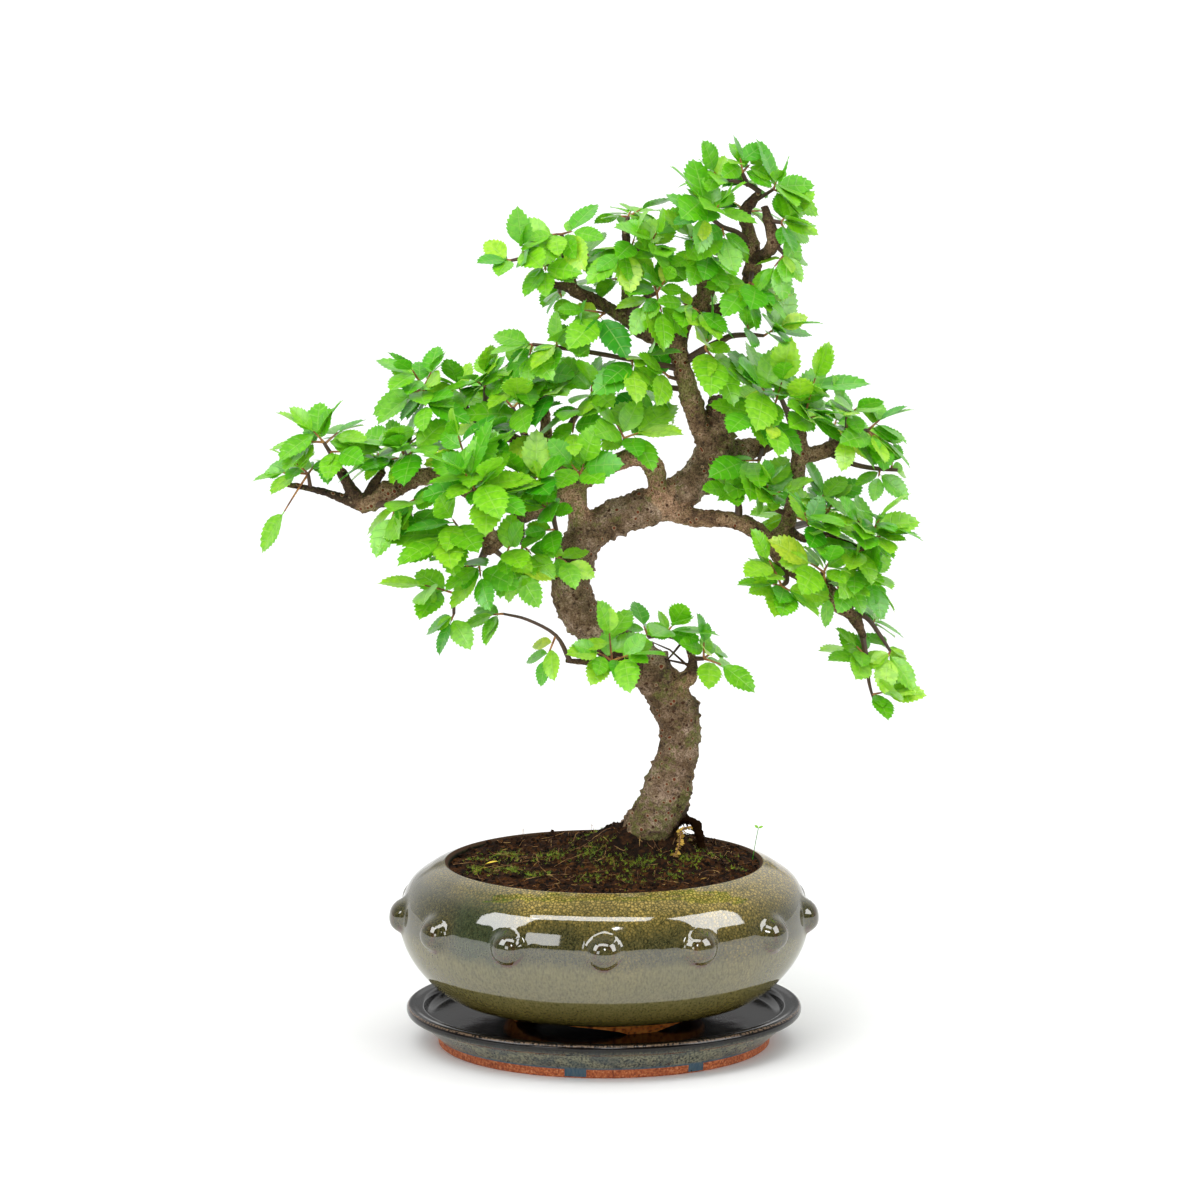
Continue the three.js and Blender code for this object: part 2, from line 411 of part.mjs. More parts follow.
// How high the soil stands at a point: a mound round the trunk, with low waves
function soilLevel(x, y) {
  const away = Math.hypot((x - 16) / 34, (y - 8) / 26);
  return SOIL_EDGE + SOIL_MOUND / (1 + away ** 2) + Math.sin(x * 0.16) * Math.cos(y * 0.19) * 0.7;
}

function makeSoil(wood) {
  const wall = raised([POT_INSIDE[5], POT_INSIDE[3], POT_INSIDE[2]]).map(([r, z]) => [r - 2 * GAP, z]);
  const floor = potLevel(POT_FLOOR) + GAP;
  const side = [[0, floor], [BELLY - 48, floor], ...wall];
  const rim = [LIP - 2, SOIL_EDGE - SOIL_DIP];
  const top = [0.62, 0.3].map((share) => [rim[0] * share, SOIL_EDGE]);
  const points = [...side, rim, ...top, [0, SOIL_EDGE]].map(([r, z]) => new THREE.Vector2(r, z));
  const geometry = new THREE.LatheGeometry(points, ROUND);
  geometry.rotateX(Math.PI / 2);
  geometry.scale(1, OVAL, 1);
  const position = geometry.attributes.position;
  for (let i = 0; i < position.count; i++) {
    if (position.getZ(i) > SOIL_EDGE - 0.1) position.setZ(i, soilLevel(position.getX(i), position.getY(i)));
  }
  const recesses = [-1, 1].map((s) => {
    const recess = new THREE.BoxGeometry(MESH_SIZE + 2 * GAP, MESH_SIZE + 2 * GAP, 2 * (MESH_THICK + GAP));
    recess.translate((s * DRAIN_SPAN) / 2, 0, potLevel(POT_FLOOR));
    return solidOf(recess);
  });
  return largest(solidOf(geometry).subtract(joined([...recesses, wood])));
}

const sidesFor = (radius) => (radius > 7 ? 11 : radius > 4.8 ? 7 : radius > 2.5 ? 5 : 4);
const woodTube = (points, extra, sides) =>
  solidOf(tube(points.map(place), points.map((p) => p[3] + extra), sides ?? sidesFor(Math.max(...points.map((p) => p[3])))));

// The wood, or the room it needs when extra is more than 0
function makeWood(extra) {
  return joined([TRUNK, ...Object.values(LIMBS)].map((points) => woodTube(points, extra)));
}

// The point of a stem that is nearest to a place
function nearestOn(stem, wanted) {
  let best = null;
  for (let i = 1; i < stem.length; i++) {
    const line = new THREE.Line3(stem[i - 1], stem[i]);
    const point = line.closestPointToPoint(wanted, true, new THREE.Vector3());
    const away = point.distanceTo(wanted);
    if (!best || away < best.away) best = { point, away };
  }
  return best.point;
}

const UP = new THREE.Vector3(0, 0, 1);
const HEART = new THREE.Vector3(0, 5, 290); // the middle of the crown, which the leaves face away from

// Each leaf of a shoot: where its stalk starts, its direction, its face and its length
function leavesOf(start, end, count, length, random) {
  const along = end.clone().sub(start).normalize();
  const leaves = [];
  for (let i = 0; i < count; i++) {
    const share = count > 1 ? 0.3 + (0.7 * i) / (count - 1) : 1;
    const root = start.clone().lerp(end, share);
    const outward = root.clone().sub(HEART).setZ(0).normalize();
    const jitter = new THREE.Vector3(random() - 0.5, random() - 0.5, random() - 0.5);
    const lit = UP.clone().addScaledVector(outward, 0.5).addScaledVector(jitter, 0.9);
    lit.y -= 0.3;
    lit.normalize();
    const side = i % 2 ? 1 : -1;
    const last = i === count - 1;
    const spread = THREE.MathUtils.degToRad(last ? 8 : 48 + 22 * random());
    const sideways = lit.clone().cross(along).normalize().multiplyScalar(side);
    const heading = along.clone().multiplyScalar(Math.cos(spread)).addScaledVector(sideways, Math.sin(spread));
    heading.z -= 0.12 + 0.25 * random();
    heading.normalize();
    const face = lit.addScaledVector(heading, -lit.dot(heading)).normalize();
    const middle = 1 - Math.abs(share - 0.72) * 0.5;
    leaves.push({ root, heading, face, length: length * middle * (0.86 + 0.28 * random()), order: i });
  }
  return leaves;
}

// Half outline of a toothed elm leaf, from the stalk to the tip: along its length, and across half its width
const LEAF_EDGE = [[-0.14, 0], [0.3, 0.92], [0.5, 0.8], [0.62, 0.94], [1, 0]];

function leafSolid({ root, heading, face, length }, thick, grow) {
  const sideways = face.clone().cross(heading);
  const half = (length * LEAF_WIDTH) / 2;
  const rim = [...LEAF_EDGE, ...LEAF_EDGE.slice(1, -1).reverse().map(([u, v]) => [u, -v])];
  const vertices = [1, -1].flatMap((level) =>
    rim.map(([u, v]) =>
      root
        .clone()
        .addScaledVector(heading, (0.14 + u * grow) * length)
        .addScaledVector(sideways, v * half * grow)
        .addScaledVector(face, Math.abs(v) * half * LEAF_FOLD + (level * thick) / 2),
    ),
  );
  const count = rim.length;
  const tip = count / 2;
  const triangles = [];
  for (let i = 0; i < count; i++) {
    const next = (i + 1) % count;
    triangles.push([i, next, count + next], [i, count + next, count + i]);
    if (i !== tip && next !== tip) triangles.push([tip, next, i], [count + tip, count + i, count + next]);
  }
  const solid = solidOf(indexed(vertices, triangles));
  return solid.volume() < 0 ? solidOf(indexed(vertices, triangles.map(([a, b, c]) => [a, c, b]))) : solid;
}

const touches = (a, b) => a.intersect(b).volume() > 1e-4;
const boxOf = (solid) => {
  const { min, max } = solid.boundingBox();
  return new THREE.Box3(new THREE.Vector3(...min), new THREE.Vector3(...max));
};

// Stem, shoots and the wished-for leaves of a leafy branch
function planSpray([name, [stem, shoots]], index) {
  const random = seeded(1000 + index * 17);
  const line = stem.map(place);
  const outer = line.length > 2 ? line.slice(1) : [line[1], line[1]];
  const twigs = [];
  const leaves = [];
  for (const shoot of shoots.slice(0, Math.ceil(shoots.length * COUNTED))) {
    const reach = place(shoot);
    const [, , , count, length] = shoot;
    const start = nearestOn(outer, reach);
    const run = reach.distanceTo(start);
    const tip = start.clone().lerp(reach, 1 - Math.min(0.5, (TIP_LEAF * length) / run));
    twigs.push([start, tip]);
    const grown = leavesOf(start, tip, count, length, random);
    const kept = Math.round(count * COUNTED);
    const wished = [...grown].sort((a, b) => (b.order === count - 1) - (a.order === count - 1) || b.length - a.length);
    leaves.push(...wished.slice(0, kept));
  }
  return { name, stem, twigs, leaves };
}

function twigSolid({ stem, twigs }, extra) {
  const shoots = twigs.map((points) =>
    solidOf(tube(points, [TWIG_RADIUS + extra, TWIG_RADIUS * 0.8 + extra], 3)),
  );
  return joined([woodTube(stem, extra, 3), ...shoots]);
}

// Leafy branches: a leaf that would cross another piece is left off
function makeSprays(woodRoom) {
  const plans = Object.entries(SPRAYS).map(planSpray);
  const rooms = plans.map((plan) => {
    const solid = twigSolid(plan, GAP);
    return { solid, box: boxOf(solid) };
  });
  const taken = [];
  return plans.map((plan, index) => {
    const blades = [];
    for (const leaf of plan.leaves) {
      const guard = leafSolid(leaf, LEAF_THICK + 2 * GAP, 1.03);
      const box = boxOf(guard);
      const clash =
        rooms.some((room, other) => other !== index && room.box.intersectsBox(box) && touches(room.solid, guard)) ||
        taken.some((blade) => blade.box.intersectsBox(box) && touches(blade.solid, guard)) ||
        touches(woodRoom, guard);
      if (clash) continue;
      const solid = leafSolid(leaf, LEAF_THICK, 1);
      taken.push({ solid, box: boxOf(solid) });
      blades.push(solid);
    }
    const whole = joined([twigSolid(plan, 0), ...blades]).subtract(woodRoom);
    const solid = largest(whole);
    return { name: plan.name, solid, blades: blades.length, lost: whole.volume() - solid.volume() };
  });
}

const finish = (color, roughness) => new THREE.MeshStandardMaterial({ color, roughness, metalness: 0 });
const GLAZE = finish(0x8a8a6a, 0.2);
const DARK_GLAZE = finish(0x2f3a3c, 0.25);
const EARTH = finish(0x4a3020, 1);
const BARK = finish(0x756a5a, 0.85);
const LEAF = finish(0x5cb82e, 0.5);
const PLASTIC = finish(0x222222, 0.6);

const bonsai = new THREE.Group();
function add(name, solid, material) {
  const mesh = new THREE.Mesh(geometryOf(solid), material);
  mesh.name = name;
  bonsai.add(mesh);
}

const woodRoom = makeWood(GAP);
add("saucer", makeSaucer(), DARK_GLAZE);
add("pot", makePot(), GLAZE);
add("drain_mesh_left", makeDrainMesh(-1), PLASTIC);
add("drain_mesh_right", makeDrainMesh(1), PLASTIC);
add("soil", makeSoil(woodRoom), EARTH);
add("trunk_and_limbs", makeWood(0), BARK);
for (const spray of makeSprays(woodRoom)) add(spray.name, spray.solid, LEAF);

export default bonsai;
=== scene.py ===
# %% [markdown]
# # A zelkova bonsai in a studded oval pot
# This notebook dresses a small tree: an S-shaped trunk with leafy limbs, in an oval glazed pot of
# soil that stands on its oval saucer. The plain solids of every piece come ready made, at their real
# size. Here each of them gets the surface that the eye expects: bark, toothed leaves, crackled glaze,
# crumbly soil and moss.

import math
import random

import bpy
import numpy as np
from mathutils import Matrix, Vector, noise
from mathutils.bvhtree import BVHTree
from mathutils.kdtree import KDTree


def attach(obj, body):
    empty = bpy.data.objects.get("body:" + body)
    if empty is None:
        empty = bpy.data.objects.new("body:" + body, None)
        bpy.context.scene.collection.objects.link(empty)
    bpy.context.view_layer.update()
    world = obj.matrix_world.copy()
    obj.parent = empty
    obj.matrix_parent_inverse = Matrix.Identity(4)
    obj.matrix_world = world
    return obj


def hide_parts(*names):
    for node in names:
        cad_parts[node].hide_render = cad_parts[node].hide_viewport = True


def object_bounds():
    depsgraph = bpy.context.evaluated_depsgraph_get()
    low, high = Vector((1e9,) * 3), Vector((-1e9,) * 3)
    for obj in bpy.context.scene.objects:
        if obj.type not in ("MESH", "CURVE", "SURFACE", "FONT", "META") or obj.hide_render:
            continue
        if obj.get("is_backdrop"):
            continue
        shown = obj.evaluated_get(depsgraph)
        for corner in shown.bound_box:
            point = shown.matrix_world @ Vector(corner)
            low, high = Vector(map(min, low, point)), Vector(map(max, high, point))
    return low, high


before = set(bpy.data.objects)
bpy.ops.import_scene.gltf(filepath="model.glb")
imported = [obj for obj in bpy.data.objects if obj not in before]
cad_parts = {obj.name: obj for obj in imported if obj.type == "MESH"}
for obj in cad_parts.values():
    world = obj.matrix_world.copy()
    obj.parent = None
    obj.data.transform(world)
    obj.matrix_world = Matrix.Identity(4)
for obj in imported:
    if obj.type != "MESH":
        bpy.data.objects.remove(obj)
cad_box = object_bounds()
MM = 0.001
cad_mm = [round(v / MM) for corner in cad_box for v in corner]
print("solids:", len(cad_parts), "box in mm:", cad_mm)

# %% [markdown]
# ## The view
# The photograph was taken from about three metres with a long lens, a little above the pot, so its
# oval mouth shows as a thin ellipse. A long lens keeps the near and the far leaves almost the same
# size.

# %% Camera
VIEW_DISTANCE = 3000 * MM
VIEW_HEIGHT = math.radians(12)
LOOK_AT = Vector((-2, 0, 229)) * MM
LENS = 180
SENSOR = 36

towards = Vector((0, -math.cos(VIEW_HEIGHT), math.sin(VIEW_HEIGHT)))
bpy.ops.object.camera_add(
    location=LOOK_AT + towards * VIEW_DISTANCE,
    rotation=(math.pi / 2 - VIEW_HEIGHT, 0, 0),
)
camera = bpy.context.object
camera.data.lens = LENS
camera.data.sensor_width = SENSOR
bpy.context.scene.camera = camera
print("camera at", [round(v, 3) for v in camera.location])

# %% [markdown]
# ## Colour and node helpers
# Colours are picked as the sRGB hex values that a screen shows, while shaders work in linear light,
# so one function turns the one into the other. Another adds a node and wires it up, and short ones
# build on it for the six sorts of node that every material repeats, so that a material reads as a
# list of steps.

# %% Helpers for materials
def linear(hex_colour):
    """An sRGB hex colour as linear red, green, blue and alpha."""
    parts = [int(hex_colour[i : i + 2], 16) / 255 for i in (1, 3, 5)]
    return [p / 12.92 if p <= 0.04045 else ((p + 0.055) / 1.055) ** 2.4 for p in parts] + [1.0]


def add_node(material, kind, links=None, stops=None, inputs=None, **settings):
    """Adds a node, sets it, fills its colour ramp from (place, colour) stops and links its inputs."""
    tree = material.node_tree
    node = tree.nodes.new(kind)
    for name, value in settings.items():
        setattr(node, name, value)
    for place, value in (inputs or {}).items():
        node.inputs[place].default_value = value
    for place, source in (links or {}).items():
        tree.links.new(source, node.inputs[place])
    if stops:
        ramp = node.color_ramp
        while len(ramp.elements) < len(stops):
            ramp.elements.new(1)
        for element, (place, colour) in zip(ramp.elements, stops):
            element.position = place
            element.color = linear(colour)
    return node


def new_material(name, roughness, ior=1.5):
    """A material with its Principled shader, and that shader."""
    material = bpy.data.materials.new(name)
    material.use_nodes = True
    shader = material.node_tree.nodes["Principled BSDF"]
    shader.inputs["Roughness"].default_value = roughness
    shader.inputs["IOR"].default_value = ior
    return material, shader


def wire(material, source, shader, socket):
    """Links a node's output to one of the shader's inputs."""
    material.node_tree.links.new(source, shader.inputs[socket])

# %% Short helpers for the nodes that repeat
def feed(material, node, places, sources):
    """Gives each input its source: another node's output, a hex colour or a plain value."""
    for place, source in zip(places, sources):
        if isinstance(source, bpy.types.NodeSocket):
            material.node_tree.links.new(source, node.inputs[place])
        else:
            node.inputs[place].default_value = linear(source) if isinstance(source, str) else source


def ranged(material, value, start, end, low=0.0, high=1.0):
    """A value that runs from start to end, told as low to high and held there beyond them."""
    node = add_node(material, "ShaderNodeMapRange")
    places = ("Value", "From Min", "From Max", "To Min", "To Max")
    feed(material, node, places, (value, start, end, low, high))
    return node.outputs["Result"]


def soft_noise(material, place, scale, detail=2.0, roughness=0.5):
    """Cloudy noise about 0.5, with that many clouds to a metre."""
    node = add_node(material, "ShaderNodeTexNoise")
    feed(material, node, ("Vector", "Scale", "Detail", "Roughness"), (place, scale, detail, roughness))
    return node.outputs["Fac"]


def ramp(material, share, *stops):
    """The colour that (place, colour) stops give to a share."""
    return add_node(material, "ShaderNodeValToRGB", {"Fac": share}, stops=stops).outputs["Color"]


def blend(material, share, first, second, way="MIX"):
    """The first colour with that share of the second one over it."""
    node = add_node(material, "ShaderNodeMixRGB", blend_type=way)
    feed(material, node, ("Fac", "Color1", "Color2"), (share, first, second))
    return node.outputs["Color"]


def reckon(material, operation, *values, clamp=False):
    """Two or three values added, multiplied or compared."""
    node = add_node(material, "ShaderNodeMath", operation=operation, use_clamp=clamp)
    feed(material, node, range(3), values)
    return node.outputs["Value"]


def away_from(material, place, centre):
    """How far a place is from a centre, in metres."""
    node = add_node(material, "ShaderNodeVectorMath", operation="DISTANCE")
    feed(material, node, range(2), (place, centre))
    return node.outputs["Value"]


def relief(material, height, strength, distance, over=None, sunk=False):
    """The shading normal of a small relief, which may lie over another one."""
    node = add_node(material, "ShaderNodeBump", invert=sunk)
    feed(material, node, ("Height", "Strength", "Distance"), (height, strength, distance))
    if over:
        feed(material, node, ("Normal",), (over,))
    return node.outputs["Normal"]


WHITE = "#ffffff"

# %% [markdown]
# ## The studio
# The tree stands on a white sweep that runs out of sight, with white behind it. The wall behind the
# camera is dark, which is why the upper half of the glossy belly looks deep green, and the softboxes
# that hang over the front draw the bright streaks on it. They are seen by gloss alone, and two wide
# lights do the actual lighting.

# %% Floor, world and lights
bpy.ops.mesh.primitive_plane_add(size=18)
floor = bpy.context.object
floor.name = "studio_floor"
paper, paper_shader = new_material("studio_paper", roughness=0.9)
spot = add_node(paper, "ShaderNodeTexCoord")
fleck = soft_noise(paper, spot.outputs["Object"], 30)
paper_tone = ramp(paper, fleck, (0, "#fafafa"), (1, "#fdfdfd"))
wire(paper, paper_tone, paper_shader, "Base Color")
# a wash of light on the far end of the sweep keeps it as white as the near end
far = add_node(paper, "ShaderNodeVectorMath", {0: spot.outputs["Object"]}, operation="LENGTH")
lightened = ranged(paper, far.outputs["Value"], 1, 4, high=0.3)
wire(paper, lightened, paper_shader, "Emission Strength")
floor.data.materials.append(paper)
floor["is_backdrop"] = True

# %% World
world = bpy.data.worlds.new("studio_world")
bpy.context.scene.world = world
world.use_nodes = True
sky = world.node_tree.nodes["Background"]
direction = add_node(world, "ShaderNodeTexCoord")
split = add_node(world, "ShaderNodeSeparateXYZ", {"Vector": direction.outputs["Generated"]})
depth = ranged(world, split.outputs["Y"], -0.75, 0.75)
room = ramp(
    world, depth, (0, "#222222"), (0.3, "#404040"), (0.46, "#767676"), (0.7, "#b4b4b4"), (1, WHITE)
)
# above the far end of the paper the studio is greyer
far_end = ranged(world, split.outputs["Y"], 0.92, 0.95)
above = ranged(world, split.outputs["Z"], 0.1, 0.16)
behind = reckon(world, "MULTIPLY", far_end, above)
room_end = blend(world, behind, room, "#a0a0a0")
path = add_node(world, "ShaderNodeLightPath")
paper_light = blend(world, path.outputs["Is Diffuse Ray"], (1, 1, 1, 1), (0.96, 0.96, 0.96, 1))
seen = blend(world, path.outputs["Is Glossy Ray"], paper_light, room_end)
wire(world, seen, sky, "Color")

# %% Lights
# Each light: name, place, the point it faces, width, height, power in watts, and if only gloss shows it
LIGHTS = [
    ("softbox_left", (-1.08, -0.78, 0.98), (0, 0, 0.1), 0.72, 0.85, 10.5, True),
    ("strip_above", (-0.12, -0.85, 1.38), (0, 0, 0.1), 1.3, 0.42, 9, True),
    ("softbox_right", (1.15, -0.66, 0.95), (0, 0, 0.1), 0.85, 1.0, 14, True),
    ("window_low", (-0.74, -1.44, 0.4), (0, 0, 0.1), 0.42, 0.4, 2, True),
    ("window_middle", (0.1, -1.9, 1.1), (0, 0, 0.1), 0.3, 0.35, 4, True),
    ("key_light", (-0.9, -1.3, 2.2), (0, 0, 0.2), 1.4, 1.4, 19, False),
    ("top_light", (0.4, -0.2, 2.5), (0, 0, 0.2), 1.6, 1.6, 15, False),
]
for name, place, target, width, height, power, only_gloss in LIGHTS:
    facing = (Vector(target) - Vector(place)).to_track_quat("-Z", "Y")
    bpy.ops.object.light_add(type="AREA", location=place, rotation=facing.to_euler())
    light = bpy.context.object
    light.name = name
    light.data.shape = "RECTANGLE"
    light.data.size = width
    light.data.size_y = height
    light.data.energy = power
    light.visible_glossy = only_gloss
    light.visible_diffuse = not only_gloss
bpy.context.scene.view_settings.view_transform = "Standard"
bpy.context.scene.view_settings.look = "None"
print("lights:", len(LIGHTS))

# %% [markdown]
# ## Turned clay
# Pot and saucer are thrown or jiggered round and then pressed oval, so both are modelled in the same
# way: the half section is drawn once as a closed outline, spun round the axis, and squeezed along its
# depth.

# %% Helpers for turned pieces
OVAL = 0.8  # depth over width


def only(piece):
    """Selects one object alone and makes it active."""
    bpy.ops.object.select_all(action="DESELECT")
    piece.select_set(True)
    bpy.context.view_layer.objects.active = piece


def join(piece, part):
    """Joins a part to a piece."""
    only(piece)
    part.select_set(True)
    bpy.ops.object.join()


def apply_modifier(piece, kind, **settings):
    """Gives an object one modifier with its settings, and applies it."""
    only(piece)
    modifier = piece.modifiers.new(kind.lower(), kind)
    for name, value in settings.items():
        setattr(modifier, name, value)
    bpy.ops.object.modifier_apply(modifier=modifier.name)


def set_attribute(piece, name, values):
    """Stores one number at each point of a mesh."""
    layer = piece.data.attributes.new(name, "FLOAT", "POINT")
    layer.data.foreach_set("value", values)


def flowing(points, steps):
    """Points on a smooth line through the given ones, with that many steps between two of them."""
    rows = np.array(points, float)
    ends = np.vstack([2 * rows[0] - rows[1], rows, 2 * rows[-1] - rows[-2]])
    line = []
    for a, b, c, d in zip(ends, ends[1:], ends[2:], ends[3:]):
        for t in np.arange(steps) / steps:
            square = (2 * a - 5 * b + 4 * c - d) * t**2
            cube = (3 * b - a - 3 * c + d) * t**3
            line.append(0.5 * (2 * b + (c - a) * t + square + cube))
    return [tuple(p) for p in [*line, rows[-1]]]

# %% Turning and handing over a piece
def turn(name, section, segments):
    """Spins a closed half section of (radius, level) in millimetres, and presses it to the oval."""
    bpy.ops.mesh.primitive_circle_add(vertices=len(section), radius=MM)
    piece = bpy.context.object
    piece.name = name
    for vertex, (radius, level) in zip(piece.data.vertices, section):
        vertex.co = Vector((radius, 0, level)) * MM
    bpy.ops.object.mode_set(mode="EDIT")
    bpy.ops.mesh.select_all(action="SELECT")
    bpy.ops.mesh.spin(steps=segments, angle=2 * math.pi, center=(0, 0, 0), axis=(0, 0, 1))
    bpy.ops.mesh.select_all(action="SELECT")
    bpy.ops.mesh.remove_doubles(threshold=0.02 * MM)
    bpy.ops.mesh.delete_loose()
    bpy.ops.mesh.select_all(action="SELECT")
    bpy.ops.transform.resize(value=(1, OVAL, 1), center_override=(0, 0, 0))
    bpy.ops.mesh.normals_make_consistent(inside=False)
    bpy.ops.object.mode_set(mode="OBJECT")
    bpy.ops.object.shade_smooth_by_angle(angle=math.radians(40))
    return piece


def use(piece, node, slot, *materials):
    """Gives a finished piece its materials, hangs it under the root and hides the solid it stands for;
    slot is not used.
    """
    piece.data.materials.clear()
    for material in materials:
        piece.data.materials.append(material)
    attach(piece, "root")
    if node:
        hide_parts(node)
    print(piece.name, "faces:", len(piece.data.polygons))

# %% [markdown]
# ## The saucer
# A shallow stoneware dish with a flat rim. Its blue-black glaze is glossy inside, runs grey-green and
# speckled down the outer wall, and wears through to brown along the rim's edge. The base was wiped
# clean before firing, so a band of bare red clay shows, with two drips of glaze on it.

# %% Saucer shape
SAUCER = 100  # half its width
RIM = 20.6
DISH = 14

saucer_outside = [(SAUCER - 15.6, 4.6), (SAUCER - 7.5, 12.2), (SAUCER - 4.5, 14.4), (SAUCER - 1.2, 15.6)]
saucer_rim = [
    (SAUCER - 0.1, 17), (SAUCER, 18.8), (SAUCER - 0.8, 20.1), (SAUCER - 2.4, RIM),
    (SAUCER - 5.2, RIM - 0.5),
]
saucer_inside = [
    (SAUCER - 7.8, RIM - 0.6), (SAUCER - 9, RIM - 1.6), (SAUCER - 10.2, 15.9), (SAUCER - 12.6, DISH)
]
saucer_section = [
    (0, 0),
    (60, 0),
    (SAUCER - 17, 0),
    (SAUCER - 16, 0.8),
    *flowing([*saucer_outside, *saucer_rim, *saucer_inside], 5),
    (SAUCER - 14, DISH),
    (60, DISH),
    (0, DISH),
]
saucer = turn("saucer_dish", saucer_section, 240)

# %% [markdown]
# A glaze is a thin layer of coloured glass. Its colour moves with its thickness: on edges it runs
# thin and breaks brown, in hollows it pools dark. So the colour is driven by the level on the piece,
# by soft noise for the drift of the glaze, and by fine specks of iron.

# %% Saucer finish
saucer_glaze, shader = new_material("stoneware_glaze_blue_black", roughness=0.15, ior=1.42)
at = add_node(saucer_glaze, "ShaderNodeTexCoord").outputs["Object"]
split = add_node(saucer_glaze, "ShaderNodeSeparateXYZ", {"Vector": at})
drift = soft_noise(saucer_glaze, at, 90, 5)
stretched = add_node(saucer_glaze, "ShaderNodeMapping", {"Vector": at}, inputs={"Scale": (1, 1, 0.25)})
runs = soft_noise(saucer_glaze, stretched.outputs["Vector"], 950, 6)
pool = ramp(saucer_glaze, drift, (0.3, "#0a0807"), (0.55, "#120e0c"), (0.8, "#1c2426"))
wall = ramp(
    saucer_glaze,
    runs,
    (0.36, "#24261f"),
    (0.45, "#55574a"),
    (0.55, "#74745e"),
    (0.63, "#8a886a"),
    (0.7, "#4a5254"),
)
low = ranged(saucer_glaze, split.outputs["Z"], 17.8 * MM, 13.2 * MM)
flat_way = add_node(
    saucer_glaze, "ShaderNodeMapping", {"Vector": at}, inputs={"Scale": (1, 1 / OVAL, 0)}
)
radius = add_node(
    saucer_glaze, "ShaderNodeVectorMath", {0: flat_way.outputs["Vector"]}, operation="LENGTH"
)
# the dish inside is as low as the wall outside, but stays black
on_dish = ranged(saucer_glaze, radius.outputs["Value"], (SAUCER - 9.5) * MM, (SAUCER - 10.5) * MM)
above_foot = ranged(saucer_glaze, split.outputs["Z"], (DISH - 0.8) * MM, (DISH - 0.4) * MM)
in_dish = reckon(saucer_glaze, "MULTIPLY", on_dish, above_foot)
on_wall = reckon(saucer_glaze, "SUBTRACT", low, in_dish, clamp=True)
# the wall is greener in some places and bluer in others, and the drips below it are blue
bluer = ranged(saucer_glaze, drift, 0.46, 0.6, high=0.55)
cool_wall = blend(saucer_glaze, bluer, wall, "#2c3c44")
drip_level = ranged(saucer_glaze, split.outputs["Z"], 6.4 * MM, 4.8 * MM, high=0.8)
dripping = blend(saucer_glaze, drip_level, cool_wall, "#3e5c70")
tone = blend(saucer_glaze, on_wall, pool, dripping)
wobble = reckon(saucer_glaze, "MULTIPLY", drift, 0.0018)
reach = reckon(saucer_glaze, "SUBTRACT", radius.outputs["Value"], wobble)
# the rim's edge, a line about 0.8 mm wide where the glaze runs thin
edge_in = ranged(saucer_glaze, reach, 97.6 * MM, 98.0 * MM)
edge_up = ranged(saucer_glaze, split.outputs["Z"], 19.4 * MM, 19.9 * MM)
whole_edge = reckon(saucer_glaze, "MULTIPLY", edge_in, edge_up)
gaps = ranged(saucer_glaze, runs, 0.42, 0.56, high=0.9)
edge = reckon(saucer_glaze, "MULTIPLY", whole_edge, gaps)
worn = blend(saucer_glaze, edge, tone, "#75604c")
specks = add_node(
    saucer_glaze, "ShaderNodeTexVoronoi", {"Vector": at}, inputs={"Scale": 260, "Randomness": 1}
)
speck = reckon(saucer_glaze, "LESS_THAN", specks.outputs["Distance"], 0.12)
glazed = blend(saucer_glaze, speck, worn, "#171110")
wire(saucer_glaze, glazed, shader, "Base Color")
ripple = relief(saucer_glaze, drift, 0.25, 0.6 * MM)
wire(saucer_glaze, ripple, shader, "Normal")

# %% Bare clay of the saucer
red_clay, shader = new_material("unglazed_red_stoneware", roughness=0.8)
at = add_node(red_clay, "ShaderNodeTexCoord").outputs["Object"]
grog = soft_noise(red_clay, at, 900, 5)
patch = soft_noise(red_clay, at, 70, 3)
grain = ramp(red_clay, grog, (0.34, "#7e3c1a"), (0.47, "#b85c2c"), (0.57, "#cc7440"), (0.68, "#dc9a6c"))
smoky = ramp(red_clay, patch, (0.35, "#8e5a42"), (0.65, WHITE))
clay_tone = blend(red_clay, 0.35, grain, smoky, way="MULTIPLY")
wire(red_clay, clay_tone, shader, "Base Color")
pitted = relief(red_clay, grog, 0.4, 0.3 * MM)
wire(red_clay, pitted, shader, "Normal")

# %% Drips on the bare clay
use(saucer, "saucer", "dark_glaze", saucer_glaze, red_clay)
# places of the two glaze drips on the bare clay, as x in millimetres, with their half widths
DRIPS = [(-13.5, 6.6), (45.5, 4.8)]
BARE_LEVEL = 4.9


def in_drip(spot):
    """Whether a spot on the saucer's base lies in a drip at the front; drips narrow downwards."""
    if spot.y >= 0 or spot.z <= 0.9:
        return False
    return any(abs(spot.x - x) < half * (0.6 + spot.z / 10) for x, half in DRIPS)


for face in saucer.data.polygons:
    centre = face.center / MM
    face.material_index = 1 if centre.z < BARE_LEVEL and not in_drip(centre) else 0

# %% [markdown]
# ## The pot
# An oval bowl whose shoulder rolls in to a soft lip, with a row of round studs pressed on at its
# belly and three low feet of bare clay. The studs and the body are glazed over as one, so they're
# raised from the same skin: the belly is spun with fine rings, and each stud is pushed outwards with
# a soft foot all round.

# %% Pot shape
BELLY = 103  # half its width
LIP = BELLY - 21.4
FOOT = DISH  # the feet stand in the dish
STUDS = 13
STUD_LEVEL = FOOT + 55
STUD_RADIUS = 8.8
STUD_RISE = 5.8


def from_feet(section):
    return [(radius, level + FOOT) for radius, level in section]


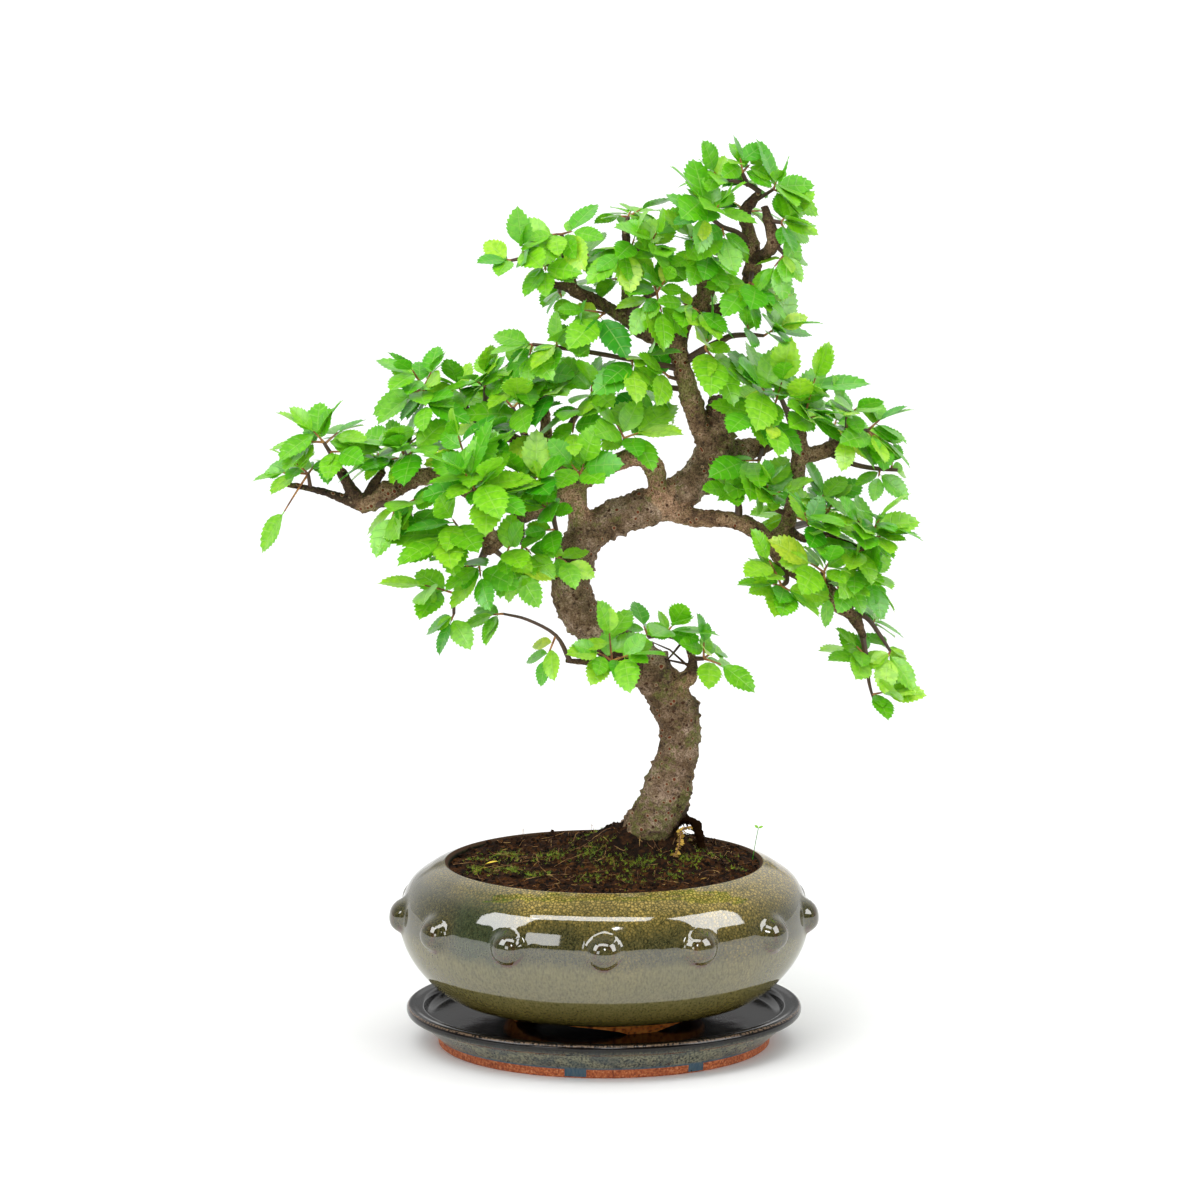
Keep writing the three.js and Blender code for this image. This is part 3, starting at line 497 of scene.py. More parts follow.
pot_outside = from_feet([
    (BELLY - 45, 6.8), (BELLY - 24, 12.6), (BELLY - 9, 26.2), (BELLY - 1, 41), (BELLY, 55.5),
    (BELLY - 5, 69), (BELLY - 14.5, 76.8), (LIP, 80), (LIP - 1.8, 80.2), (LIP - 3.2, 78.6),
    (LIP - 2.6, 76.6),
])
pot_inside = from_feet([
    (LIP - 1, 74.5), (BELLY - 12, 66.5), (BELLY - 6.5, 55), (BELLY - 8.5, 40), (BELLY - 20, 25),
    (BELLY - 37, 17), (BELLY - 47, 15.5),
])
pot_section = [
    *from_feet([(0, 6.8), (30, 6.8)]),
    *flowing(pot_outside, 9),
    *flowing(pot_inside, 3),
    *from_feet([(20, 15.5), (0, 15.5)]),
]
pot = turn("glazed_pot", pot_section, 420)


def around_oval(half_width, count):
    """Points of the oval, the first at the front, spaced evenly round the pot before it was pressed."""
    turns = [2 * math.pi * n / count for n in range(count)]
    return [(half_width * math.sin(t), -half_width * OVAL * math.cos(t)) for t in turns]


def round_stud(rows, place):
    """A stud's outward line, and each point's place along and across it and share of its radius."""
    outward = np.array((place.x * OVAL * OVAL, place.y, 0))
    outward /= np.linalg.norm(outward)
    offset = rows - np.array(place)
    along = offset @ outward
    across = offset - np.outer(along, outward)
    return outward, along, across, np.linalg.norm(across, axis=1) / STUD_RADIUS


def push_stud(rows, place):
    """Raises the points near a stud's centre along its outward line: a dome with a soft foot."""
    outward, along, _, away = round_stud(rows, place)
    near = (away < 1.4) & (along > -5) & (along < 6)
    dome = np.clip(1 - np.clip(away, 0, 1) ** 2.6, 0, None) ** 0.62
    foot = np.clip(1.4 - away, 0, 0.4) ** 2 / 0.16 * 0.09
    rise = np.where(away < 1, np.maximum(dome, foot), foot) * STUD_RISE
    return np.where(near, rise, 0)[:, None] * outward


rows = np.array([v.co for v in pot.data.vertices]) / MM
shift = np.zeros_like(rows)
stud_places = [Vector((x, y, STUD_LEVEL)) for x, y in around_oval(BELLY, STUDS)]
for place in stud_places:
    shift += push_stud(rows, place)
pot.data.vertices.foreach_set("co", ((rows + shift) * MM).ravel())
pot.data.update()

# %% [markdown]
# The feet are what is left of a turned ring after three wide, low arches are cut from it. A ring is
# spun, three flattened cylinders are laid across it, and a Boolean takes them away. The ring is bare,
# orange clay.

# %% Feet of the pot
FOOT_RADIUS = 48
ring_section = [
    (FOOT_RADIUS - 8, FOOT),
    (FOOT_RADIUS - 0.6, FOOT),
    (FOOT_RADIUS, FOOT + 0.6),
    (FOOT_RADIUS + 3.4, FOOT + 7.2),
    (FOOT_RADIUS - 9, FOOT + 7.2),
]
feet = turn("clay_feet", ring_section, 180)
ARCH_WIDTH = 60
ARCH_FLATNESS = 0.17  # height of an arch over half its width
for angle in (-3, 117, 237):
    turned_by = math.radians(angle)
    centre = Vector((math.cos(turned_by), math.sin(turned_by), 0)) * FOOT_RADIUS
    bpy.ops.mesh.primitive_cylinder_add(
        vertices=64, radius=ARCH_WIDTH / 2 * MM, depth=1.2 * FOOT_RADIUS * MM
    )
    arch = bpy.context.object
    bpy.ops.object.mode_set(mode="EDIT")
    bpy.ops.mesh.select_all(action="SELECT")
    bpy.ops.transform.resize(value=(1, ARCH_FLATNESS, 1), center_override=(0, 0, 0))
    bpy.ops.object.mode_set(mode="OBJECT")
    across = Matrix.Rotation(turned_by, 4, "Z") @ Matrix.Rotation(math.pi / 2, 4, "Y")
    across = across @ Matrix.Rotation(math.pi / 2, 4, "Z")
    arch.data.transform(Matrix.Translation((centre + Vector((0, 0, FOOT - 0.4))) * MM) @ across)
    apply_modifier(feet, "BOOLEAN", operation="DIFFERENCE", object=arch, solver="EXACT")
    bpy.data.objects.remove(arch)

# %% Finish of the feet
# the feet are a yellower orange than the saucer's clay, and painted brighter and more saturated still:
# painted light, for the light bounced up under the pot
foot_clay, shader = new_material("bare_stoneware_with_painted_bounce_light", roughness=0.75)
at = add_node(foot_clay, "ShaderNodeTexCoord").outputs["Object"]
sand = soft_noise(foot_clay, at, 420, 5)
sand_tone = ramp(foot_clay, sand, (0.34, "#8c4414"), (0.46, "#e07c28"), (0.62, "#f49c44"))
wire(foot_clay, sand_tone, shader, "Base Color")
use(feet, None, "green_glaze", foot_clay)

# %% [markdown]
# The glaze on the pot is a celadon over a crackle slip: small cells of yellow ochre near the lip,
# separated by dark green lines, that melt into a speckled olive green down the belly. Where it runs
# thin over the foot of a stud, red-brown clay breaks through. The cells are about 1.7 mm wide, drawn
# with a Voronoi pattern.

# %% Pot finish
CELL = 1 / (1.7 * MM)  # cells per metre
pot_glaze, shader = new_material("crackled_celadon_glaze", roughness=0.05, ior=1.95)
at = add_node(pot_glaze, "ShaderNodeTexCoord").outputs["Object"]
split = add_node(pot_glaze, "ShaderNodeSeparateXYZ", {"Vector": at})
bend = add_node(pot_glaze, "ShaderNodeTexNoise", {"Vector": at}, inputs={"Scale": 500, "Detail": 2})
bent = add_node(
    pot_glaze,
    "ShaderNodeVectorMath",
    {0: bend.outputs["Color"]},
    inputs={1: (0.0009,) * 3},
    operation="MULTIPLY",
)
moved = add_node(pot_glaze, "ShaderNodeVectorMath", {0: at, 1: bent.outputs["Vector"]}, operation="ADD")
cells = add_node(
    pot_glaze,
    "ShaderNodeTexVoronoi",
    {"Vector": moved.outputs["Vector"]},
    inputs={"Scale": CELL},
    feature="DISTANCE_TO_EDGE",
)
speckle = soft_noise(pot_glaze, at, 1100, 4)
cloud = soft_noise(pot_glaze, at, 26, 4)
ochre = ramp(
    pot_glaze,
    cells.outputs["Distance"],
    (0.0, "#4c4826"),
    (0.1, "#8c7c40"),
    (0.3, "#c0a456"),
    (0.7, "#d8bc6c"),
)
olive = ramp(
    pot_glaze, speckle, (0.34, "#2e301c"), (0.48, "#474528"), (0.6, "#555030"), (0.74, "#6d6038")
)

# %% Ochre near the lip
# ochre from the lip down to about 20 mm below it, less towards the left end
height = ranged(pot_glaze, split.outputs["Z"], (FOOT + 60) * MM, (FOOT + 75) * MM)
side = ranged(pot_glaze, split.outputs["X"], -75 * MM, -35 * MM, -0.9, 0.0)
drifted = ranged(pot_glaze, cloud, 0.3, 0.7, -0.35, 0.35)
mixed = reckon(pot_glaze, "ADD", height, side)
share = reckon(pot_glaze, "ADD", mixed, drifted, clamp=True)
body_tone = blend(pot_glaze, share, olive, ochre)

# %% Pool, painted floor reflection, painted underside shade and runs in the pot's glaze
# a pool of blue-green glaze on the left of the shoulder
POOL_CENTRE = (-0.062, -0.064, 0.08)
from_pool = away_from(pot_glaze, moved.outputs["Vector"], POOL_CENTRE)
pool_size = reckon(pot_glaze, "MULTIPLY_ADD", cloud, 0.07, -0.023)
pool_reach = reckon(pot_glaze, "SUBTRACT", from_pool, pool_size)
pool = ranged(pot_glaze, pool_reach, 8 * MM, -8 * MM, high=0.6)
pooled = blend(pot_glaze, pool, body_tone, "#34442e")
# the lower half of the belly is painted paler, with an uneven upper edge: a painted reflection of the pale
# floor below it
reflection_edge_wobble = reckon(pot_glaze, "MULTIPLY_ADD", cloud, 0.016, -0.008)
reflection_edge_height = reckon(pot_glaze, "ADD", split.outputs["Z"], reflection_edge_wobble)
floor_reflection_share = ranged(pot_glaze, reflection_edge_height, (FOOT + 50) * MM, (FOOT + 45) * MM, high=0.55)
lightened = blend(pot_glaze, floor_reflection_share, pooled, "#80784c")
# below that the belly is painted darker olive brown: painted shade, and a painted reflection of the dark
# saucer under it
under = ranged(pot_glaze, split.outputs["Z"], (FOOT + 26) * MM, (FOOT + 14) * MM, high=0.8)
tone = blend(pot_glaze, under, lightened, "#5c501e")
# fine runs of glaze, drawn out downwards
drawn_out = add_node(pot_glaze, "ShaderNodeMapping", {"Vector": at}, inputs={"Scale": (1, 1, 0.35)})
runs = soft_noise(pot_glaze, drawn_out.outputs["Vector"], 1000, 6, 0.6)
run_tone = ramp(pot_glaze, runs, (0.36, "#9c9a80"), (0.47, "#e0e0d8"), (0.58, WHITE))
streaked = blend(pot_glaze, 0.75, tone, run_tone, way="MULTIPLY")

# %% Clay that breaks through at the studs
# the mesh holds how near each point is to the lower foot of a stud, where the glaze breaks to clay
breaking = add_node(pot_glaze, "ShaderNodeAttribute", attribute_name="break_line")
patchy = soft_noise(pot_glaze, at, 160, 3)
torn = ranged(pot_glaze, patchy, 0.36, 0.5)
thin = reckon(pot_glaze, "MULTIPLY", breaking.outputs["Fac"], torn)
glazed = blend(pot_glaze, thin, streaked, "#4a1a12")
wire(pot_glaze, glazed, shader, "Base Color")
wave = relief(pot_glaze, cloud, 0.25, 1.5 * MM)
orange_peel = relief(pot_glaze, speckle, 0.03, 0.1 * MM, over=wave)
wire(pot_glaze, orange_peel, shader, "Normal")

strength = np.zeros(len(rows))
for place in stud_places:
    _, along, across, away = round_stud(rows, place)
    lower = np.clip(-across[:, 2] / STUD_RADIUS - 0.35, 0, 0.6) / 0.6
    line = np.clip(1 - np.abs(away - 1.0) / 0.1, 0, 1) * lower * 3
    spot_line = np.clip(1 - np.abs(away - 0.55) / 0.12, 0, 1) * 0.55
    strength = np.maximum(strength, np.where(np.abs(along) < 5, np.clip(line + spot_line, 0, 1), 0))
set_attribute(pot, "break_line", strength)

# %% Painted shade inside the pot
# inside, below the lip, the wall is painted a near-black olive: painted shade in the hollow of the pot
shaded_inner_clay, shader = new_material("stoneware_with_painted_inner_shade", roughness=0.9)
shader.inputs["Specular IOR Level"].default_value = 0.1
at = add_node(shaded_inner_clay, "ShaderNodeTexCoord").outputs["Object"]
inner_shade_mottle = soft_noise(shaded_inner_clay, at, 300)
inner_shade_tone = ramp(shaded_inner_clay, inner_shade_mottle, (0.35, "#14160c"), (0.65, "#30301c"))
# the glaze runs thin over the inner edge of the lip, a brown line
split = add_node(shaded_inner_clay, "ShaderNodeSeparateXYZ", {"Vector": at})
lip_line = ranged(shaded_inner_clay, split.outputs["Z"], (FOOT + 78.9) * MM, (FOOT + 79.5) * MM)
lined = blend(shaded_inner_clay, lip_line, inner_shade_tone, "#4c382a")
wire(shaded_inner_clay, lined, shader, "Base Color")
use(pot, "pot", "green_glaze", pot_glaze, shaded_inner_clay)
for face in pot.data.polygons:
    facing_in = face.normal.x * face.center.x + face.normal.y * face.center.y < 0
    face.material_index = 1 if facing_in and (FOOT + 15) * MM < face.center.z < (FOOT + 81) * MM else 0

# %% [markdown]
# ## Mesh over the drain holes
# Two squares of black plastic netting keep the soil in. They lie hidden under it, and keep their
# plain solids.

# %% Drain mesh finish
netting, shader = new_material("moulded_black_polyethylene", roughness=0.6)
at = add_node(netting, "ShaderNodeTexCoord").outputs["Object"]
haze = soft_noise(netting, at, 900)
haze_tone = ramp(netting, haze, (0.3, "#141414"), (0.7, "#2a2a28"))
wire(netting, haze_tone, shader, "Base Color")
for name in ("drain_mesh_left", "drain_mesh_right"):
    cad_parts[name].data.materials.clear()
    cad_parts[name].data.materials.append(netting)

# %% [markdown]
# ## Soil
# Bonsai soil is a mix of baked clay grains and bark, with shreds of straw and moss on top. It rises
# to the foot of the trunk. The body is spun like the pot, its top is cut into fine rings, and noise
# lifts them to lumps.

# %% Soil body
SIGHT = math.tan(VIEW_HEIGHT)
SOIL_EDGE = 90
SOIL_MOUND = 13


def soil_level(x, y):
    """Level of the soil in millimetres: a mound round the foot of the trunk, on gentle waves."""
    away = math.hypot((x - 16) / 34, (y - 8) / 26)
    return SOIL_EDGE + SOIL_MOUND / (1 + away**2) + math.sin(x * 0.16) * math.cos(y * 0.19) * 0.7


def lumps(x, y):
    """Height of the crumbs on the soil, and of the earth heaped against the trunk, in millimetres."""
    heap = 8 * math.exp(-(((x - 9) / 24) ** 2) - ((y - 13) / 18) ** 2)
    clod = 8 * math.exp(-(((x - 35) / 6) ** 2) - ((y - 10) / 6) ** 2)
    collar = 3.4 * math.exp(-(((x - 20) / 19) ** 2) - ((y - 6) / 15) ** 2)
    coarse = noise.noise(Vector((x / 9, y / 9, 3)))
    medium = noise.noise(Vector((x / 3.6, y / 3.6, 9)))
    grain = noise.voronoi(Vector((x / 2.3, y / 2.3, 1)))[0][0]
    bank = 2.2 * min(1, max(0, (y - 18) / 24))  # against the back of the pot
    return heap + clod + collar + bank + 1.1 * coarse + 0.9 * medium + 1.1 * (0.35 - grain)


SOIL_RIM = LIP - 1.9
soil_rings = np.linspace(SOIL_RIM, 1, 110)
soil_section = [
    (0, FOOT + 15.8),
    (BELLY - 48, FOOT + 15.8),
    (BELLY - 20.6, FOOT + 25),
    (BELLY - 7.1, FOOT + 55),
    (BELLY - 12.6, FOOT + 66.5),
    *[(radius, SOIL_EDGE) for radius in soil_rings],
    (0, SOIL_EDGE),
]
soil = turn("potting_soil", soil_section, 400)
for vertex in soil.data.vertices:
    x, y, z = vertex.co / MM
    if z > SOIL_EDGE - 0.1:
        inside = min(1, (SOIL_RIM - math.hypot(x, y / OVAL)) / 4)
        vertex.co.z = (soil_level(x, y) + lumps(x, y) * inside - 0.8 * (1 - inside)) * MM

# %% Soil finish
# crumbs about 2 mm wide, each of its own red-brown, darker and damp in between
loam, shader = new_material("damp_clay_and_bark_loam", roughness=0.92)
shader.inputs["Specular IOR Level"].default_value = 0.12
at = add_node(loam, "ShaderNodeTexCoord").outputs["Object"]
crumb = add_node(loam, "ShaderNodeTexVoronoi", {"Vector": at}, inputs={"Scale": 1 / (2.2 * MM)})
crumb_value = add_node(loam, "ShaderNodeSeparateColor", {"Color": crumb.outputs["Color"]})
crumb_tone = ramp(
    loam,
    crumb_value.outputs["Red"],
    (0.0, "#160a03"),
    (0.35, "#301a07"),
    (0.65, "#48280d"),
    (0.85, "#6a421a"),
    (1.0, "#241308"),
)
dust = soft_noise(loam, at, 900, 5)
dust_tone = ramp(loam, dust, (0.3, "#4a3526"), (0.7, WHITE))
loam_tone = blend(loam, 0.8, crumb_tone, dust_tone, way="MULTIPLY")
# the soil heaped against the trunk is darker
TRUNK_FOOT = (0.014, 0.008, 0.104)
from_foot = away_from(loam, at, TRUNK_FOOT)
near_trunk_share = ranged(loam, from_foot, 38 * MM, 18 * MM, high=0.55)
trunk_foot_tone = blend(loam, near_trunk_share, loam_tone, "#160d06")
wire(loam, trunk_foot_tone, shader, "Base Color")
rough = relief(loam, dust, 0.8, 0.8 * MM)
wire(loam, rough, shader, "Normal")
use(soil, "soil", "soil", loam)

# %% [markdown]
# ## Copies of one shape
# Crumbs, straw, moss and leaves all repeat. Each is modelled once, and its copies are set out as
# arrays of points, which is quick, and gives every copy its own mesh.

# %% Helper for copies
FULL_TURN = 6.28  # radians


def read_mesh(piece):
    """The points, faces and UV of a mesh as arrays and lists."""
    mesh = piece.data
    points = np.array([v.co for v in mesh.vertices])
    faces = [list(p.vertices) for p in mesh.polygons]
    layer = mesh.uv_layers.active
    spots = np.array([loop.uv for loop in layer.data]) if layer else np.zeros((len(mesh.loops), 2))
    return points, faces, spots


def mesh_of_copies(name, shape, placed, tints):
    """One piece from many placed copies of a shape's points, each with its own tint."""
    points, faces, spots = shape
    count = len(points)
    mesh = bpy.data.meshes.new(name)
    rows = np.concatenate(placed)
    copied = [[i + n * count for i in face] for n in range(len(placed)) for face in faces]
    mesh.from_pydata(rows.tolist(), [], copied)
    layer = mesh.uv_layers.new(name="UVMap")
    layer.data.foreach_set("uv", np.tile(spots, (len(placed), 1)).ravel())
    piece = bpy.data.objects.new(name, mesh)
    set_attribute(piece, "tint", np.repeat(tints, count))
    bpy.context.collection.objects.link(piece)
    return piece


def in_soil(dice, margin=5, spread=1.0):
    """A random spot on the soil, in millimetres."""
    while True:
        x, y = dice.uniform(-LIP, LIP), dice.uniform(-LIP, LIP) * OVAL
        if math.hypot(x, y / OVAL) < (LIP - margin) * spread:
            return x, y


def turned_axes(dice):
    """Three axes turned any way."""
    quaternion = Vector((dice.gauss(0, 1), dice.gauss(0, 1), dice.gauss(0, 1))).to_track_quat("Z", "Y")
    return np.array(quaternion.to_matrix()) @ np.array(Matrix.Rotation(dice.uniform(0, FULL_TURN), 3, "Z"))

# %% [markdown]
# Loose crumbs lie on the soil: lumps of baked clay up to about 2 mm. An icosphere is dented into one
# lump, and copies of it are turned, stretched and half sunk.

# %% Crumbs
CRUMBS = 2200
dice = random.Random(7)
bpy.ops.object.select_all(action="DESELECT")
bpy.ops.mesh.primitive_ico_sphere_add(subdivisions=1, radius=MM)
crumb_shape = bpy.context.object
for vertex in crumb_shape.data.vertices:
    vertex.co *= 1 + 0.45 * noise.noise(vertex.co / MM * 1.1 + Vector((4, 0, 0)))
lump = read_mesh(crumb_shape)
bpy.data.objects.remove(crumb_shape)
placed = []
for _ in range(CRUMBS):
    x, y = in_soil(dice, margin=4)
    size = dice.choice((0.35, 0.5, 0.6, 0.8, 1.1))
    squeeze = np.array((dice.uniform(0.7, 1.3), dice.uniform(0.7, 1.2), dice.uniform(0.5, 0.9)))
    place = np.array((x, y, soil_level(x, y) + lumps(x, y) + size * 0.25)) * MM
    placed.append((lump[0] * squeeze * size) @ turned_axes(dice).T + place)
crumbs = mesh_of_copies("soil_crumbs", lump, placed, [dice.random() for _ in placed])
use(crumbs, None, "soil", loam)

# %% [markdown]
# Straw and dry rootlets lie over the crumbs, tan and thin, with a slight bend. Each is a curve of
# five points with a round bevel, turned into a mesh.

# %% Curves to tubes
def tubes(name, lines, sides=2, caps=True):
    """One mesh of round tubes along lines of (point, radius), in millimetres."""
    curve = bpy.data.curves.new(name, "CURVE")
    curve.dimensions = "3D"
    curve.bevel_depth = MM
    curve.bevel_resolution = sides
    curve.use_fill_caps = caps
    for line in lines:
        spline = curve.splines.new("POLY")
        spline.points.add(len(line) - 1)
        for knot, (point, radius) in zip(spline.points, line):
            knot.co = (*(Vector(point) * MM), 1)
            knot.radius = radius
    piece = bpy.data.objects.new(name, curve)
    bpy.context.collection.objects.link(piece)
    only(piece)
    bpy.ops.object.convert(target="MESH")
    bpy.ops.object.mode_set(mode="EDIT")
    bpy.ops.mesh.select_all(action="SELECT")
    bpy.ops.mesh.normals_make_consistent(inside=False)
    bpy.ops.object.mode_set(mode="OBJECT")
    bpy.ops.object.shade_smooth()
    return piece


STRAWS = 190
straws = []
for number in range(STRAWS):
    x, y = in_soil(dice, margin=9)
    way = dice.uniform(0, 2 * math.pi)
    half = dice.choice((1, 1.6, 2.2, 3, 4, 6))
    arch = dice.uniform(2, 5) if number % 9 == 0 else 0  # some stand up in a bow
    bow = dice.uniform(-0.8, 0.8)
    line = []
    for step in (-1, -0.4, 0.2, 0.7, 1):
        px = x + math.cos(way) * half * step - math.sin(way) * bow * (1 - step * step)
        py = y + math.sin(way) * half * step + math.cos(way) * bow * (1 - step * step)
        level = soil_level(px, py) + max(0.3, lumps(px, py)) + 0.6 + arch * (1 - step * step)
        line.append(((px, py, level), dice.uniform(0.07, 0.16)))
    straws.append(line)
straw = tubes("dry_straw", straws, sides=0)

# %% Finish of the straw
dry_stem, shader = new_material("dried_grass_stem", roughness=0.8)
at = add_node(dry_stem, "ShaderNodeTexCoord").outputs["Object"]
fade = soft_noise(dry_stem, at, 200, 2)
fade_tone = ramp(dry_stem, fade, (0.35, "#4a2e1a"), (0.5, "#8e6032"), (0.65, "#d0a662"))
wire(dry_stem, fade_tone, shader, "Base Color")
use(straw, None, "soil", dry_stem)

# %% [markdown]
# Moss grows in small bright cushions of pointed leaflets, 1 to 2 mm high. One tuft is a fan of twelve
# slim blades; copies are turned and scaled, and gathered in patches.

# %% Moss
bpy.ops.mesh.primitive_circle_add(vertices=12, radius=0.25 * MM, fill_type="TRIFAN")
tuft_shape = bpy.context.object
bpy.ops.object.mode_set(mode="EDIT")
bpy.ops.mesh.select_all(action="SELECT")
bpy.ops.mesh.edge_split(type="EDGE")
bpy.ops.object.mode_set(mode="OBJECT")
for face in tuft_shape.data.polygons:
    corners = [tuft_shape.data.vertices[i] for i in face.vertices]
    corners.sort(key=lambda v: v.co.length)
    turn_by = math.atan2(*(corners[1].co + corners[2].co).yx)
    reach = 0.9 + 0.5 * math.sin(face.index * 5)
    rise = 0.9 + 0.5 * math.cos(face.index * 3)
    corners[0].co = Vector((math.cos(turn_by), math.sin(turn_by), rise)) * reach * MM
tuft = read_mesh(tuft_shape)
bpy.data.objects.remove(tuft_shape)

# %% Patches of moss
# patches of moss: place across and back, radius, number of tufts
MOSS = [
    (-62, -8, 8, 90), (-50, 14, 12, 150), (-48, -14, 8, 90), (-34, -22, 8, 60), (-26, 4, 12, 150),
    (-8, -30, 9, 60), (-4, 24, 14, 90), (-6, -4, 9, 100), (12, -34, 10, 60), (20, -16, 10, 110),
    (34, -28, 9, 50), (42, -8, 10, 80), (58, 6, 9, 40), (38, 26, 12, 60),
    (66, -14, 6, 20), (4, -16, 12, 90), (-66, 12, 6, 40),
]
placed = []
for cx, cy, reach, count in MOSS:
    for _ in range(count):
        x = cx + dice.gauss(0, reach * 0.5)
        y = cy + dice.gauss(0, reach * 0.42)
        if math.hypot(x, y / OVAL) > LIP - 6:
            continue
        place = np.array((x, y, soil_level(x, y) + lumps(x, y) - 0.05)) * MM
        lean = np.array(Matrix.Rotation(dice.uniform(0, FULL_TURN), 3, "Z")) @ np.array(
            Matrix.Rotation(dice.gauss(0, 0.4), 3, "X")
        )
        placed.append((tuft[0] * dice.choice((0.6, 0.8, 1.0, 1.4))) @ lean.T + place)
moss = mesh_of_copies("moss_cushions", tuft, placed, [dice.random() for _ in placed])

# %% Finish of the moss
moss_green, shader = new_material("living_moss", roughness=0.7)
shader.inputs["Subsurface Weight"].default_value = 0.3
shader.inputs["Subsurface Radius"].default_value = (0.001, 0.0015, 0.0005)
own = add_node(moss_green, "ShaderNodeAttribute", attribute_name="tint")
moss_tone = ramp(
    moss_green, own.outputs["Fac"], (0, "#567c0c"), (0.4, "#86ac14"), (0.75, "#b4d020"), (1, "#8a7c1c")
)
wire(moss_green, moss_tone, shader, "Base Color")
use(moss, None, "soil", moss_green)

# %% [markdown]
# ## Trunk and limbs
# A zelkova's trunk is smooth and grey with orange pores, and an old one swells where it was cut and
# wired. The wood is drawn as lines with a thickness at every point: across, up and back as the
# photograph shows them, and a radius. A smooth tube follows each line, and a fine voxel remesh grows
# them all into one skin.

# %% Lines of the wood
def place_of(point):
    """A point seen by the camera (across, up, back) in the object's own frame, in millimetres."""
    across, up, back = point[:3]
    return Vector((across, back, up - back * SIGHT))


TRUNK = [
    [4, 78, 10, 11], [11, 95, 10, 13.4], [19.5, 107, 10, 12.8], [26.8, 118, 10, 12.3],
    [31.2, 128, 10, 12.2], [33.6, 138, 9, 11.2], [37, 150, 8, 10.1], [38.5, 163, 6, 10.2],
    [34.5, 176, 4, 10.7], [28.5, 186, 2, 10.6], [20.5, 195.5, 0, 10.3], [9, 204.5, -2, 9.9],
    [-2, 212, -4, 9.8], [-10, 220.5, -4, 9.9], [-15.5, 230, -4, 9.7], [-16.5, 240.5, -3, 9.4],
    [-14.5, 250.5, -2, 9.4], [-10.5, 259, -1, 9.4], [-4, 266, 0, 9.3], [8, 272, 0, 8.7],
    [18, 275.5, 1, 8.8], [28, 278, 2, 9.1], [38, 283.5, 3, 9], [46.5, 291.5, 4, 8.7],
    [52, 299.5, 5, 8.6], [55.5, 308, 5, 8.5], [57.5, 319, 6, 8], [59, 327, 7, 7.8],
    [59.5, 332.5, 7, 6.6],
]

